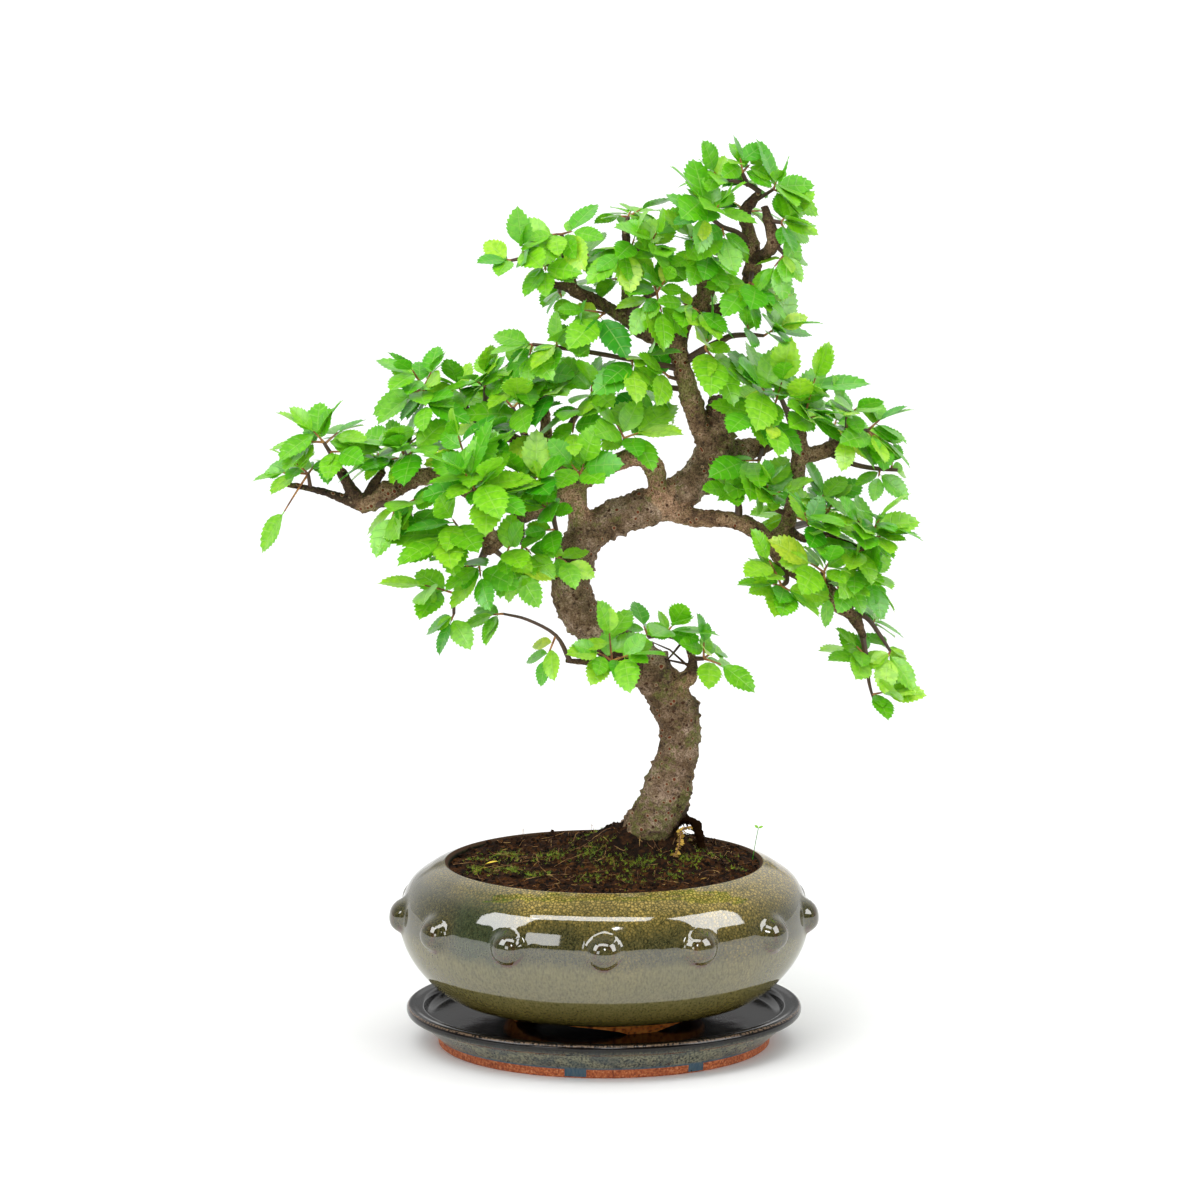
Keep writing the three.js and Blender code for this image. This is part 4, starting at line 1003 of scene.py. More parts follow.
# Limbs and stubs of the same wood as the trunk, each from the one that carries it outwards
LIMBS = {
    "leader": [
        [53, 307, 3, 6.6], [48, 318.5, 1, 5.6], [44, 327.5, 0, 5.2], [41.5, 337.5, -1, 4.9],
        [39, 346.5, -1, 4.5], [36.5, 356, 0, 4.8], [37, 364.5, 1, 4.8], [40.5, 372, 2, 4.9],
        [46, 378, 3, 4.3], [50.5, 384.5, 3, 3.9], [48, 392.5, 3, 3.6], [45, 399, 3, 3.1],
        [45, 406, 3, 2.5], [42.5, 410, 2, 1.7],
    ],
    "crown": [
        [45, 375, 3, 3.4], [54, 375, 4, 3.2], [61.5, 378, 5, 3], [69.5, 386, 6, 3.3],
        [73.5, 395.5, 6, 4], [73.5, 405, 6, 3.8], [71.5, 415, 6, 3.4], [69.5, 423.5, 6, 3.1],
        [72.5, 430, 5, 2.6], [77, 434.5, 4, 2],
    ],
    "crown_stub": [
        [73.5, 401, 6, 2.6], [80, 404, -2, 3], [84, 410, -6, 3.5], [81.5, 418, -6, 2.8],
        [79, 427.5, -3, 2.1],
    ],
    "shoulder": [
        [37, 359, 0, 3.6], [22, 363, 2, 3.4], [13, 369.5, 4, 3.2], [4, 376, 6, 3.1],
        [-3.5, 380, 6, 3.1], [-12, 384, 5, 3.2], [-18, 387.5, 4, 2.8], [-25.5, 388.5, 3, 1.7],
    ],
    "shoulder_rise": [
        [-16, 386, 4, 2.6], [-16.5, 393.5, 3, 2.5], [-19, 402, 1, 2.2], [-20.5, 411, 0, 2],
    ],
    "middle_rise": [
        [11.5, 370, 5, 2.8], [11.5, 382, 9, 3], [11.5, 391.5, 11, 2.8], [11.5, 403, 12, 2.4],
        [10.5, 419, 12, 1.9],
    ],
    "right": [
        [52, 303, 5, 7], [65.5, 304.5, 12, 6.1], [75.5, 307, 18, 4.8], [85.5, 310, 22, 3.5],
        [96, 317, 27, 2.6],
    ],
    "lower_right": [
        [32, 275, 0, 5.6], [45.5, 271, -3, 4.6], [58, 270, -6, 4], [69, 268, -8, 4.1],
        [78, 262.5, -10, 4.3], [84.5, 255.5, -12, 4.1], [89, 248, -14, 3.6], [96.5, 242, -15, 3.2],
        [105, 239.5, -15, 3.1], [112, 234, -14, 3.6], [116, 227, -12, 3.9], [121.5, 223, -10, 3.4],
        [126, 218, -9, 2.7], [130, 209.5, -8, 2],
    ],
    "upright": [
        [84, 259, -9, 3.8], [90.5, 265.5, -4, 4], [93, 275, -3, 3.7], [96, 287, -2, 3.4],
        [97, 298, -1, 3.9], [97.5, 307, 0, 4.2], [96.5, 315.5, 0, 3.3],
    ],
    "upright_arm": [
        [97.5, 302, 0, 3.8], [106, 303.5, 1, 3.8], [113, 306, 2, 3.8], [118.5, 310, 2, 3.3],
        [127.5, 316, 0, 2.1],
    ],
    "inner_right": [
        [91, 265, -4, 2.6], [100.5, 260, -8, 1.9], [109, 262.5, -10, 1.6], [121, 260, -9, 1.4],
    ],
    "loop": [
        [30, 279, 0, 5.4], [27, 287.5, -2, 5.1], [25.5, 295, -3, 5], [21.5, 300, -4, 4.8],
        [14.5, 301.5, -5, 4.5], [5, 298.5, -6, 4.4], [-3, 294.5, -6, 4.4], [-10.5, 290, -6, 4.6],
        [-18, 284.5, -6, 4.6], [-25.5, 278.5, -8, 4.2], [-34, 274.5, -9, 4.1], [-47, 277, -8, 4],
        [-62, 282, -6, 4], [-76, 288.5, -4, 4.2], [-86, 292, -3, 4.1], [-96, 290, -2, 4.5],
        [-106, 285, -2, 4.8], [-115, 280, -2, 5], [-122, 277.5, -2, 4.8],
    ],
    "fork": [[-10, 262, -2, 7.2], [-13, 274, -4, 5.5], [-14, 286, -6, 5]],
    "back_left": [
        [-14.5, 287, -4, 4.2], [-21, 297.5, 6, 4.2], [-27.5, 305, 14, 4], [-37, 308, 20, 3.3],
        [-48, 313, 22, 2.8], [-59, 319, 23, 2.4], [-68.5, 325, 24, 2], [-78, 330, 22, 1.6],
    ],
    "back_riser": [[-28.5, 305, 14, 3], [-29, 318, 17, 2.8], [-31, 331, 18, 2.8], [-31.5, 341, 18, 2.3]],
    "front_left": [
        [-34, 274.5, -9, 3.4], [-43, 269, -18, 3.4], [-50.5, 261, -26, 3.8], [-56.5, 256.5, -30, 4.2],
    ],
    "front_stub": [
        [-56, 252.5, -30, 3.4], [-57, 259, -30, 4.4], [-58.5, 267, -31, 3.8], [-60, 276, -31, 3.6],
    ],
    "tip_left": [
        [-121, 278, -2, 3.8], [-129.5, 280.5, -3, 2.6], [-139.5, 284, -4, 1.9],
        [-150.5, 286.5, -4, 1.5], [-164, 288.5, -3, 1.5],
    ],
    "tip_rise": [
        [-122, 280, -2, 3.2], [-127.5, 288, -3, 2.8], [-131, 294.5, -4, 2.3], [-135, 299.5, -6, 1.4],
    ],
    "tip_prong": [[-118, 281, -2, 2.8], [-114, 289, 0, 2.3], [-109.5, 295, 2, 1.8]],
    "low_knob": [
        [36, 187, 3, 4.2], [42.5, 189.5, 0, 4.3], [44.5, 196.5, -1, 2.4], [43, 203.5, -1, 1.9],
        [41, 209.5, -1, 1.5],
    ],
    "low_left": [[17, 195, -4, 2.4], [4, 194.5, -12, 2.2], [-6, 197, -13, 1.9], [-19.5, 198, -13, 1.3]],
    "root_left": [[18, 104, 9, 7], [8, 99.5, 5, 5], [-1, 95, 2, 3.4]],
    "root_right": [[24, 102, 6, 7], [33, 97, 2, 4.6], [40, 92, -2, 3]],
    "root_back": [[20, 107, 14, 6], [26, 106, 24, 4.4], [30, 105, 33, 2.6]],
    "dead_root": [
        [31, 107, 13, 2.6], [39, 114, 13, 2.3], [45, 114.3, 13, 2.1], [48.6, 107, 13, 1.8],
        [49.5, 98, 13, 1.4],
    ],
}

# %% One skin of wood
def limb_line(points, steps=6):
    """A smooth line of (point, radius) through the given points."""
    rows = [(*place_of(p), p[3]) for p in points]
    return [(Vector(row[:3]), row[3]) for row in flowing(rows, steps)]


WOOD_GRID = 0.83
wood_lines = [limb_line(points) for points in [TRUNK, *LIMBS.values()]]
wood = tubes("zelkova_wood", wood_lines, sides=6)
apply_modifier(wood, "REMESH", mode="VOXEL", voxel_size=WOOD_GRID * MM)
apply_modifier(wood, "SMOOTH", factor=0.6, iterations=5)
print("wood faces:", len(wood.data.polygons))

# %% [markdown]
# Bark patterns follow the limb, not the room: pores lie across it and cracks run along it. So every
# point of the skin gets its place on the nearest limb, unrolled: two numbers round the limb and one
# along it.

# %% Unrolled places
LINE_GAP = 400.0  # millimetres from one line's start to the next one's in the unrolled pattern
samples, tangents, lengths, girths = [], [], [], []
for number, line in enumerate(wood_lines):
    run = number * LINE_GAP
    for (a, radius), (b, _) in zip(line, line[1:]):
        samples.append(a)
        tangents.append((b - a).normalized())
        lengths.append(run)
        girths.append(radius)
        run += (b - a).length
nearest = KDTree(len(samples))
for index, sample in enumerate(samples):
    nearest.insert(sample, index)
nearest.balance()

# %% Relief of the bark
OLD_WIRES = (64, 104, 131, 163, 204, 236)  # millimetres along the trunk
grain_rows = []
bark_rows = []
for vertex in wood.data.vertices:
    here = vertex.co / MM
    near = min(nearest.find_n(here, 4), key=lambda hit: hit[2] - girths[hit[1]] * 0.5)
    index = near[1]
    offset = here - samples[index]
    along = offset.dot(tangents[index])
    across = offset - tangents[index] * along
    aside = Vector((0, 1, 0)).cross(tangents[index]).normalized()
    third = tangents[index].cross(aside)
    grain = Vector((across.dot(aside), across.dot(third), lengths[index] + along))
    size = girths[index]
    rotten = lengths[index] >= LINE_GAP * (len(wood_lines) - 1)  # the dead root is the last line
    rough = 1.3 if rotten else min(1.0, size / 7)
    lump = noise.noise(here / 8)
    knob = max(0, noise.noise(here / 4.3 + Vector((7, 0, 0))) - 0.12)
    ring = noise.noise(Vector((grain.x / 9, grain.y / 9, grain.z / 1.9)))
    fine = noise.noise(here / 1.5) + 0.6 * noise.noise(here / 0.8)
    burr = max(0, noise.noise(here / 2.3 + Vector((0, 5, 0))) - 0.2)
    swell = 0
    if grain.z < 300:  # only the trunk swells where old wires sat
        swell = sum(math.exp(-(((grain.z - spot + 2 * lump) / 1.7) ** 2)) for spot in OLD_WIRES)
    rise = lump * rough + knob * 2.4 * rough + ring * 0.42 * rough
    rise += fine * 0.36 * (0.4 + 0.6 * rough)
    rise += burr * 2.0 * rough + swell * 1.1
    bark_rows.append(vertex.normal * rise * MM)
    grain_rows.append((*grain, size))
for vertex, shift in zip(wood.data.vertices, bark_rows):
    vertex.co += shift
grain_rows = np.array(grain_rows)
unrolled = wood.data.attributes.new("grain", "FLOAT_VECTOR", "POINT")
unrolled.data.foreach_set("vector", (grain_rows[:, :3] * MM).ravel())
set_attribute(wood, "girth", grain_rows[:, 3])
only(wood)
bpy.ops.object.shade_smooth()

# %% [markdown]
# Zelkova bark stays thin and closed. It is grey-brown with paler and darker patches on old wood,
# pinkish brown on limbs, nearly black-brown on twigs, and strewn with round pores about 1 mm wide:
# red-brown ones with a tan rim, and dark brown ones. A film of algae lies on it in green patches.

# %% Bark finish
bark, shader = new_material("zelkova_bark", roughness=0.8)
at = add_node(bark, "ShaderNodeTexCoord").outputs["Object"]
split = add_node(bark, "ShaderNodeSeparateXYZ", {"Vector": at})
rolled = add_node(bark, "ShaderNodeAttribute", attribute_name="grain")
thick = add_node(bark, "ShaderNodeAttribute", attribute_name="girth")
blotch = soft_noise(bark, at, 90, 9, 0.66)
fleck = soft_noise(bark, at, 1300, 5)
broad = soft_noise(bark, at, 42, 3)
swing = reckon(bark, "MULTIPLY_ADD", broad, 0.6, -0.3)
shade = reckon(bark, "ADD", blotch, swing)
old_tone = ramp(
    bark,
    shade,
    (0.3, "#4a3a22"),
    (0.42, "#765f44"),
    (0.52, "#927a62"),
    (0.6, "#b49c86"),
    (0.7, "#cebaa4"),
)
limb_tone = ramp(bark, shade, (0.32, "#50392a"), (0.5, "#977656"), (0.66, "#bc9a76"))
twig_tone = ramp(bark, blotch, (0.32, "#2e2016"), (0.55, "#5e4832"), (0.72, "#8a6e54"))
limb_share = ranged(bark, thick.outputs["Fac"], 6.4, 4.6, high=0.75)
twig_share = ranged(bark, thick.outputs["Fac"], 4.0, 2.9)
on_limb = blend(bark, limb_share, old_tone, limb_tone)
by_age = blend(bark, twig_share, on_limb, twig_tone)

# %% Painted light on the loop, and algae
# the looped limb in the middle is painted paler and pinker than the rest: painted light, where it faces
# the lamps in front
LOOP_CENTRE = (-0.002, -0.006, 0.296)
from_loop = away_from(bark, at, LOOP_CENTRE)
loop_share = ranged(bark, from_loop, 50 * MM, 34 * MM, high=0.8)
thin_loop = ranged(bark, thick.outputs["Fac"], 6.2, 5.4)
lit_loop_share = reckon(bark, "MULTIPLY", loop_share, thin_loop)
lit_loop_tone = ramp(bark, blotch, (0.34, "#8a6850"), (0.5, "#c8a080"), (0.66, "#e0bc9c"))
lit_loop = blend(bark, lit_loop_share, by_age, lit_loop_tone)
# algae: strong below about 135 mm, in patches higher up
algae = soft_noise(bark, at, 420, 7, 0.6)
field = soft_noise(bark, at, 55, 4)
growth = reckon(bark, "ADD", algae, field)
low = ranged(bark, split.outputs["Z"], 150 * MM, 128 * MM, high=0.12)
film_level = reckon(bark, "ADD", growth, low)
film = ranged(bark, film_level, 1.07, 1.2, high=0.75)
covered = blend(bark, film, lit_loop, "#707634")
fleck_tone = ramp(bark, fleck, (0.34, "#4e4030"), (0.5, "#ccc0b0"), (0.6, WHITE))
flecked = blend(bark, 0.7, covered, fleck_tone, way="MULTIPLY")
# dark pits between the flakes
pits = soft_noise(bark, at, 420, 8, 0.7)
pit_tone = ramp(bark, pits, (0.38, "#3e3018"), (0.45, WHITE))
pitted_bark = blend(bark, 0.75, flecked, pit_tone, way="MULTIPLY")

# %% Pores and the dead root
# round pores: the dots of a Voronoi pattern, kept only in some of its cells
PORE_CELLS = 1 / (3.5 * MM)  # cells per metre
pores = add_node(
    bark, "ShaderNodeTexVoronoi", {"Vector": rolled.outputs["Vector"]}, inputs={"Scale": PORE_CELLS}
)
pore_dice = add_node(bark, "ShaderNodeSeparateColor", {"Color": pores.outputs["Color"]})
pore_dot = ranged(bark, pores.outputs["Distance"], 0.27, 0.18)
pore_kept = reckon(bark, "GREATER_THAN", pore_dice.outputs["Red"], 0.3)
pore = reckon(bark, "MULTIPLY", pore_dot, pore_kept)
red_kept = reckon(bark, "GREATER_THAN", pore_dice.outputs["Green"], 0.45)
pore_tone = blend(bark, red_kept, "#40260f", "#6a3014")
rim_out = ranged(bark, pores.outputs["Distance"], 0.36, 0.29, high=0.6)
rim_share = reckon(bark, "MULTIPLY", rim_out, red_kept)
rim_kept = reckon(bark, "MULTIPLY", rim_share, pore_kept)
rimmed = blend(bark, rim_kept, pitted_bark, "#b09a78")
pored = blend(bark, pore, rimmed, pore_tone)
# the dead root beside the trunk has rotted black-brown
DEAD_ROOT = (0.044, 0.01, 0.106)
from_root = away_from(bark, at, DEAD_ROOT)
rotted = ranged(bark, from_root, 15 * MM, 10 * MM)
aged = blend(bark, rotted, pored, "#24160c")
dulled = ranged(bark, from_root, 10 * MM, 15 * MM, high=0.25)
wire(bark, dulled, shader, "Specular IOR Level")
wire(bark, aged, shader, "Base Color")
raised_bark = relief(bark, fleck, 0.7, 1.0 * MM)
raised_pores = relief(bark, pore, 0.6, 0.4 * MM, over=raised_bark)
wire(bark, raised_pores, shader, "Normal")
use(wood, "trunk_and_limbs", "bark", bark)

# %% [markdown]
# ## One leaf
# A zelkova leaf is oval and pointed, about twenty millimetres long, with some nine blunt teeth on
# each side, each at the end of a side vein. It folds a little along its midrib and its tip bends
# down. A small grid is shaped into the blade, a thin wall is given to it, and a cone makes the stalk.

# %% Leaf shape
LEAF_ROWS = 18
LEAF_COLUMNS = 4
STALK = 0.14  # of the blade's length
TOOTH = 0.15  # of the half width
BLADE_WALL = 0.014  # of the blade's length


def leaf_half(along):
    """Half width of the blade, over its widest half width, at a place from stalk to tip."""
    return math.sin(math.pi * along**0.88) ** 0.76 * (1.06 - 0.08 * along)


bpy.ops.object.select_all(action="DESELECT")
bpy.ops.mesh.primitive_grid_add(x_subdivisions=LEAF_COLUMNS, y_subdivisions=LEAF_ROWS, size=1)
leaf_shape = bpy.context.object
for vertex in leaf_shape.data.vertices:
    side, along = vertex.co.x * 2, vertex.co.y + 0.5
    row = round(along * LEAF_ROWS)
    tooth = TOOTH if row % 2 == 0 and 0 < row < LEAF_ROWS else 0
    half = leaf_half(along) if 0 < row < LEAF_ROWS else 0.012
    outer = abs(side) > 0.9
    reach = side * half * (1 + (tooth if outer else 0))
    forward = along - 0.05 * abs(side) + (0.05 * abs(side) if outer and tooth else 0)
    cup = 0.16 * abs(reach) - 0.09 * reach**2
    droop = -0.2 * along**2 + 0.06 * along
    vertex.co = Vector((reach, forward, cup + droop))
apply_modifier(leaf_shape, "SOLIDIFY", thickness=BLADE_WALL, offset=0)
bpy.ops.mesh.primitive_cone_add(
    vertices=4, radius1=0.026, radius2=0.018, depth=STALK + 0.06, location=(0, (0.06 - STALK) / 2, 0),
    rotation=(-math.pi / 2, 0, 0),
)
stalk = bpy.context.object
join(leaf_shape, stalk)
leaf = read_mesh(leaf_shape)
bpy.data.objects.remove(leaf_shape)
print("faces of a leaf:", len(leaf[1]))

# %% [markdown]
# ## Leafy branches
# Each leafy branch is a thin stem with a few shoots, and each shoot carries leaves left and right in
# turn, as zelkova does. The lists give the stem's points and every shoot's tip with its number of
# leaves and their length; a rule with a fixed seed sets each leaf's turn, so that the same tree grows
# every time.

# %% Stems and shoots
# Leafy branches: the stem from its limb outwards, then each shoot's tip with its number of leaves and
# their length. A shoot leaves the stem where the stem comes nearest to its tip.
SPRAYS = {
    "crown_top": [
        [[77, 435, 4, 1.5], [71, 438.5, 2, 1.3], [64, 440, 0, 1.1], [55.5, 440.5, -2, 0.8]],
        [[53, 448, -6, 5, 17], [70, 441, 7, 4, 17], [43, 441, 0, 3, 14]],
    ],
    "crown_right": [
        [[75.5, 431, 4, 1.2], [83.5, 436, 2, 0.9]],
        [[86, 443, -4, 5, 19], [93, 432, 3, 6, 20]],
    ],
    "crown_front": [
        [[72.5, 409, 5, 1.7], [65.5, 414.5, 0, 1.5], [58, 417, -6, 1.3], [52.5, 421, -12, 1]],
        [[43, 438, -22, 5, 22], [60, 433, -20, 4, 19], [41, 421, -20, 4, 18], [60, 407, -14, 4, 19]],
    ],
    "crown_side": [[[81, 420, -6, 1.4], [87, 419, -7, 1]], [[91, 424, -6, 4, 19], [92, 410, -5, 3, 17]]],
    "crown_hanging": [
        [[73.5, 396, 5, 1.3], [72, 389, -8, 1]],
        [[67, 383, -18, 5, 22], [79, 384, -14, 4, 20]],
    ],
    "crown_back": [
        [[70, 421, 7, 1.6], [71, 426, 20, 1.2]],
        [[60, 435, 36, 6, 18], [83, 428, 38, 5, 18]],
    ],
    "crown_inner": [
        [[46, 400, 3, 1.4], [48, 405, -5, 1]],
        [[38, 418, -10, 5, 19], [58, 400, -14, 5, 18], [46, 395, -17, 3, 19]],
    ],
    "leader_back": [
        [[50, 386, 4, 1.6], [52, 389, 16, 1.2]],
        [[60, 399, 36, 6, 18], [40, 397, 36, 5, 18]],
    ],
    "shoulder_top": [
        [[10.5, 418, 12, 1.5], [12, 423, 12, 1]],
        [[24, 430, 9, 5, 19], [3, 424, 15, 3, 13], [14, 429, 24, 4, 16]],
    ],
    "shoulder_front": [
        [[45, 398, 3, 1.8], [34, 402, 0, 1.5], [25.5, 404, -3, 1.3], [13.5, 406.5, -5, 0.9]],
        [[28, 419, -16, 5, 19], [16, 415, -12, 4, 18], [2, 399, -14, 5, 20], [30, 407, -18, 3, 18]],
    ],
    "shoulder_cross": [
        [[12.5, 374, 4, 1.8], [19, 381, -1, 1.6], [26, 384, -7, 1.2]],
        [[33, 394, -16, 5, 16], [22, 395, -6, 4, 16], [18, 371, -18, 3, 20], [30, 367, -20, 3, 18]],
    ],
    "shoulder_back": [
        [[11.5, 390, 12, 1.6], [9, 392, 20, 1.2]],
        [[-2, 393, 24, 5, 16], [15, 401, 44, 6, 18]],
    ],
    "shoulder_end": [
        [[-20, 409, 0, 1.4], [-21, 413.5, -1, 1]],
        [[-11, 416, -3, 5, 18], [-30, 413, -6, 4, 19]],
    ],
    "shoulder_left": [
        [[-18, 398, 1, 1.8], [-29.5, 399, -3, 1.4], [-39.5, 401, -6, 1.1], [-46, 400, -8, 0.8]],
        [[-40, 412, -10, 4, 19], [-50, 401, -10, 4, 16], [-28, 391, -14, 5, 18]],
    ],
    "long_branch": [
        [
            [38, 346, -1, 2], [25.5, 348.5, -6, 1.5], [10.5, 351, -8, 1.3], [-2, 353.5, -6, 1.3],
            [-17, 356, -3, 1.2], [-35.5, 358.5, 0, 1],
        ],
        [
            [14, 342, -18, 4, 20], [23, 358, -14, 3, 17], [-12, 369, -10, 4, 18],
            [-24, 362, -12, 4, 18], [-41, 358, -2, 5, 17], [-38, 347, -9, 4, 18],
        ],
    ],
    "leader_left": [
        [[39, 336, 0, 1.6], [25.5, 338, 8, 1.2]],
        [[10, 331, 14, 4, 20], [32, 328, 14, 3, 17]],
    ],
    "loop_top": [
        [[14.5, 302, -5, 1.3], [10, 311, -8, 1]],
        [[3, 324, -11, 6, 20], [24, 316, -14, 5, 22]],
    ],
    "leader_right": [
        [
            [39, 349, 0, 2.4], [48, 355, -2, 2.2], [57, 359.5, -4, 2], [63, 362.5, -5, 1.6],
            [72, 363, -6, 1.3], [79, 362.5, -7, 0.9],
        ],
        [[94, 371, -12, 6, 22], [70, 373, -12, 3, 18], [55, 346, 6, 5, 18]],
    ],
    "right_front": [
        [[83, 309, 21, 2.2], [84.5, 318, 10, 1.9], [84, 325, 0, 1.4]],
        [[73, 346, -18, 6, 25], [90, 347, -14, 4, 23], [66, 322, -28, 4, 21], [84, 314, -30, 4, 20]],
    ],
    "right_back": [
        [[95, 316, 27, 2], [92, 326, 38, 1.6], [88, 336, 48, 1.2]],
        [[70, 340, 54, 6, 19], [92, 356, 60, 5, 19], [104, 340, 58, 6, 19], [118, 330, 50, 6, 19]],
    ],
    "upright_top": [
        [[96.5, 313, 0, 1.8], [99, 320, -4, 1.3]],
        [[96, 336, -13, 6, 22], [107, 351, -8, 4, 23], [110, 324, -16, 5, 22]],
    ],
    "arm_top": [
        [[121, 311, 2, 1.7], [121, 322, -1, 1.2]],
        [[116, 337, -4, 5, 20], [129, 330, -9, 4, 18], [120, 304, -17, 3, 18]],
    ],
    "arm_end": [
        [[126, 315, 0, 1.6], [131, 315, 0, 1.2]],
        [[143, 326, 4, 5, 19], [145, 306, -2, 5, 18], [135, 309, -15, 4, 18]],
    ],
    "arm_under": [
        [[112, 304, 2, 1.8], [123, 298.5, 0, 1.4], [134, 296, -2, 1.2], [146, 295, -4, 0.9]],
        [[136, 288, -7, 3, 15], [144, 303, 2, 3, 14]],
    ],
    "arm_back": [
        [[113, 308, 4, 1.7], [114, 313, 16, 1.3]],
        [[118, 326, 38, 6, 19], [136, 316, 32, 5, 18]],
    ],
    "upright_side": [
        [[93, 273, -3, 1.8], [85.5, 275, -7, 1.4], [82, 281, -9, 1.1]],
        [[80, 293, -14, 4, 21], [93, 287, -15, 4, 18]],
    ],
    "inner_front": [
        [[101, 260, -8, 1.5], [102, 264, -17, 1.1]],
        [[97, 280, -32, 5, 23], [115, 269, -28, 5, 21]],
    ],
    "inner_end": [
        [[119, 260, -9, 1.5], [129, 255, -8, 1.2], [132, 260, -9, 1]],
        [[141, 279, -13, 6, 21], [143, 263, -10, 4, 20], [122, 275, -22, 5, 21], [124, 252, -20, 4, 18]],
    ],
    "front_twigs": [
        [[89, 248, -14, 2], [90.5, 239, -21, 1.5], [88, 236, -26, 1.1]],
        [[78, 256, -32, 5, 19], [79, 238, -32, 3, 18], [96, 231, -34, 4, 20]],
    ],
    "knob_rise": [
        [
            [117, 226, -11, 2.2], [124, 227, -10, 2.1], [126, 234, -8, 1.7], [124, 241, -8, 1.6],
            [132, 240, -6, 1.2],
        ],
        [[125, 254, -18, 5, 20], [118, 233, -24, 4, 16], [139, 233, -6, 4, 16], [133, 249, -10, 4, 18]],
    ],
    "tail": [
        [[129, 211, -8, 1.8], [131, 199.5, -8, 1.4], [132.5, 187, -8, 1], [135.5, 176, -8, 0.6]],
        [[124, 201, -12, 4, 19], [122, 210, -13, 3, 15], [146, 183, -12, 4, 20]],
    ],
    "tail_side": [
        [[123, 222, -9, 1.8], [131, 220, -6, 1.4], [138, 211, -5, 1.1], [143, 203, -6, 0.8]],
        [[141, 197, -11, 4, 20], [142, 205, -5, 3, 17], [137, 222, 6, 4, 17]],
    ],
    "lower_back": [
        [[92, 266, -3, 2.2], [100, 268, 18, 1.8], [110, 271, 36, 1.3]],
        [[100, 282, 54, 6, 19], [126, 274, 52, 6, 19], [84, 276, 34, 5, 18]],
    ],
    "front_top": [
        [[-59.5, 272, -31, 1.5], [-62, 282, -35, 1.1]],
        [[-73, 301, -46, 6, 26], [-47, 281, -46, 5, 24], [-58, 296, -50, 4, 23]],
    ],
    "tall_shoot": [
        [[-38, 307, 19, 1.4], [-39, 314, 10, 1.1]],
        [[-44, 338, -8, 6, 26], [-52, 322, -12, 3, 22]],
    ],
    "limb_front": [
        [[-64, 283, -6, 1.6], [-66, 293, -18, 1.2]],
        [[-74, 319, -28, 5, 19], [-54, 310, -32, 5, 24]],
    ],
    "back_top": [
        [[-68, 324, 24, 1.5], [-70, 332, 26, 1.2]],
        [[-76, 346, 20, 6, 19], [-64, 340, 50, 6, 18]],
    ],
    "back_end": [
        [[-77, 329.5, 22, 1.6], [-87, 332, 16, 1.3], [-90, 337, 12, 1]],
        [[-99, 352, 4, 5, 19], [-83, 351, 6, 5, 17], [-103, 329, 0, 5, 20], [-88, 323, -14, 5, 20]],
    ],
    "back_mid": [
        [[-59, 319, 23, 1.7], [-59, 328.5, 20, 1.6], [-59, 337.5, 16, 1.3]],
        [[-57, 350, 12, 5, 18], [-68, 343, 2, 4, 18]],
    ],
    "riser_left": [
        [[-31, 333, 18, 2], [-39.5, 341, 16, 1.7], [-49, 348, 14, 1.3]],
        [[-44, 352, 10, 5, 17], [-24, 347, 6, 5, 18], [-28, 353, 46, 6, 18], [-40, 336, -4, 4, 22]],
    ],
    "mid_shoot": [
        [[-24, 304, 12, 2], [-14.5, 322, 6, 1.6], [-6, 331.5, 4, 1.3]],
        [[-6, 345, -5, 5, 21], [-19, 325, -14, 4, 21], [-16, 310, -18, 4, 18]],
    ],
    "far_back": [
        [[-38, 309, 22, 2], [-42, 318, 40, 1.6], [-46, 328, 54, 1.2]],
        [[-35, 341, 70, 6, 18], [-58, 342, 68, 6, 18], [-66, 322, 56, 5, 18]],
    ],
    "left_top": [
        [[-98, 292, -1, 1.7], [-99, 301, -3, 1.2]],
        [[-102, 312, -15, 4, 24], [-88, 309, -22, 5, 23], [-112, 300, -12, 4, 19]],
    ],
    "left_under": [
        [[-117, 278, -3, 2.2], [-109.5, 277.5, -8, 1.6], [-98, 277, -15, 1.2]],
        [[-107, 266, -20, 5, 20], [-89, 283, -27, 5, 20], [-92, 265, -18, 3, 18]],
    ],
    "front_side": [
        [[-57.5, 260, -30, 2], [-65, 260.5, -29, 1.6], [-71, 264, -28, 1.2]],
        [[-88, 257, -42, 5, 26], [-78, 275, -40, 4, 23]],
    ],
    "front_hanging": [
        [
            [-58, 255, -30, 2.2], [-62, 248, -28, 1.6], [-69, 245, -25, 1.2], [-74, 231, -24, 1],
            [-74.5, 222, -24, 0.8],
        ],
        [[-98, 239, -30, 5, 22], [-77, 215, -28, 3, 19], [-60, 234, -38, 4, 21], [-76, 252, -37, 3, 18]],
    ],
    "hanging_right": [
        [[-22, 282, -7, 1.7], [-25, 272, -16, 1.4], [-23.5, 262, -19, 1.1], [-25.5, 252, -19, 0.8]],
        [[-30, 289, -23, 5, 21], [-36, 282, -25, 3, 19], [-13, 245, -21, 4, 14], [-33, 264, -26, 4, 19]],
    ],
    "left_back": [
        [[-97, 293, 0, 2], [-98, 300, 16, 1.6], [-101, 306, 30, 1.2]],
        [[-90, 317, 46, 6, 18], [-112, 315, 42, 6, 18]],
    ],
    "tip_top": [
        [[-131, 293, -4, 1.7], [-135, 302, -6, 1.2], [-139, 309, -8, 0.9]],
        [
            [-149, 320, -12, 5, 20], [-127, 319, 2, 5, 18], [-157, 309, -6, 5, 17],
            [-126, 304, -18, 5, 20],
        ],
    ],
    "tip_end": [
        [[-146, 286, -4, 1.2], [-147, 293, -6, 1]],
        [
            [-158, 303, -10, 4, 18], [-140, 303, 16, 4, 17], [-164, 266, -8, 1, 21],
            [-166, 294, -3, 4, 15],
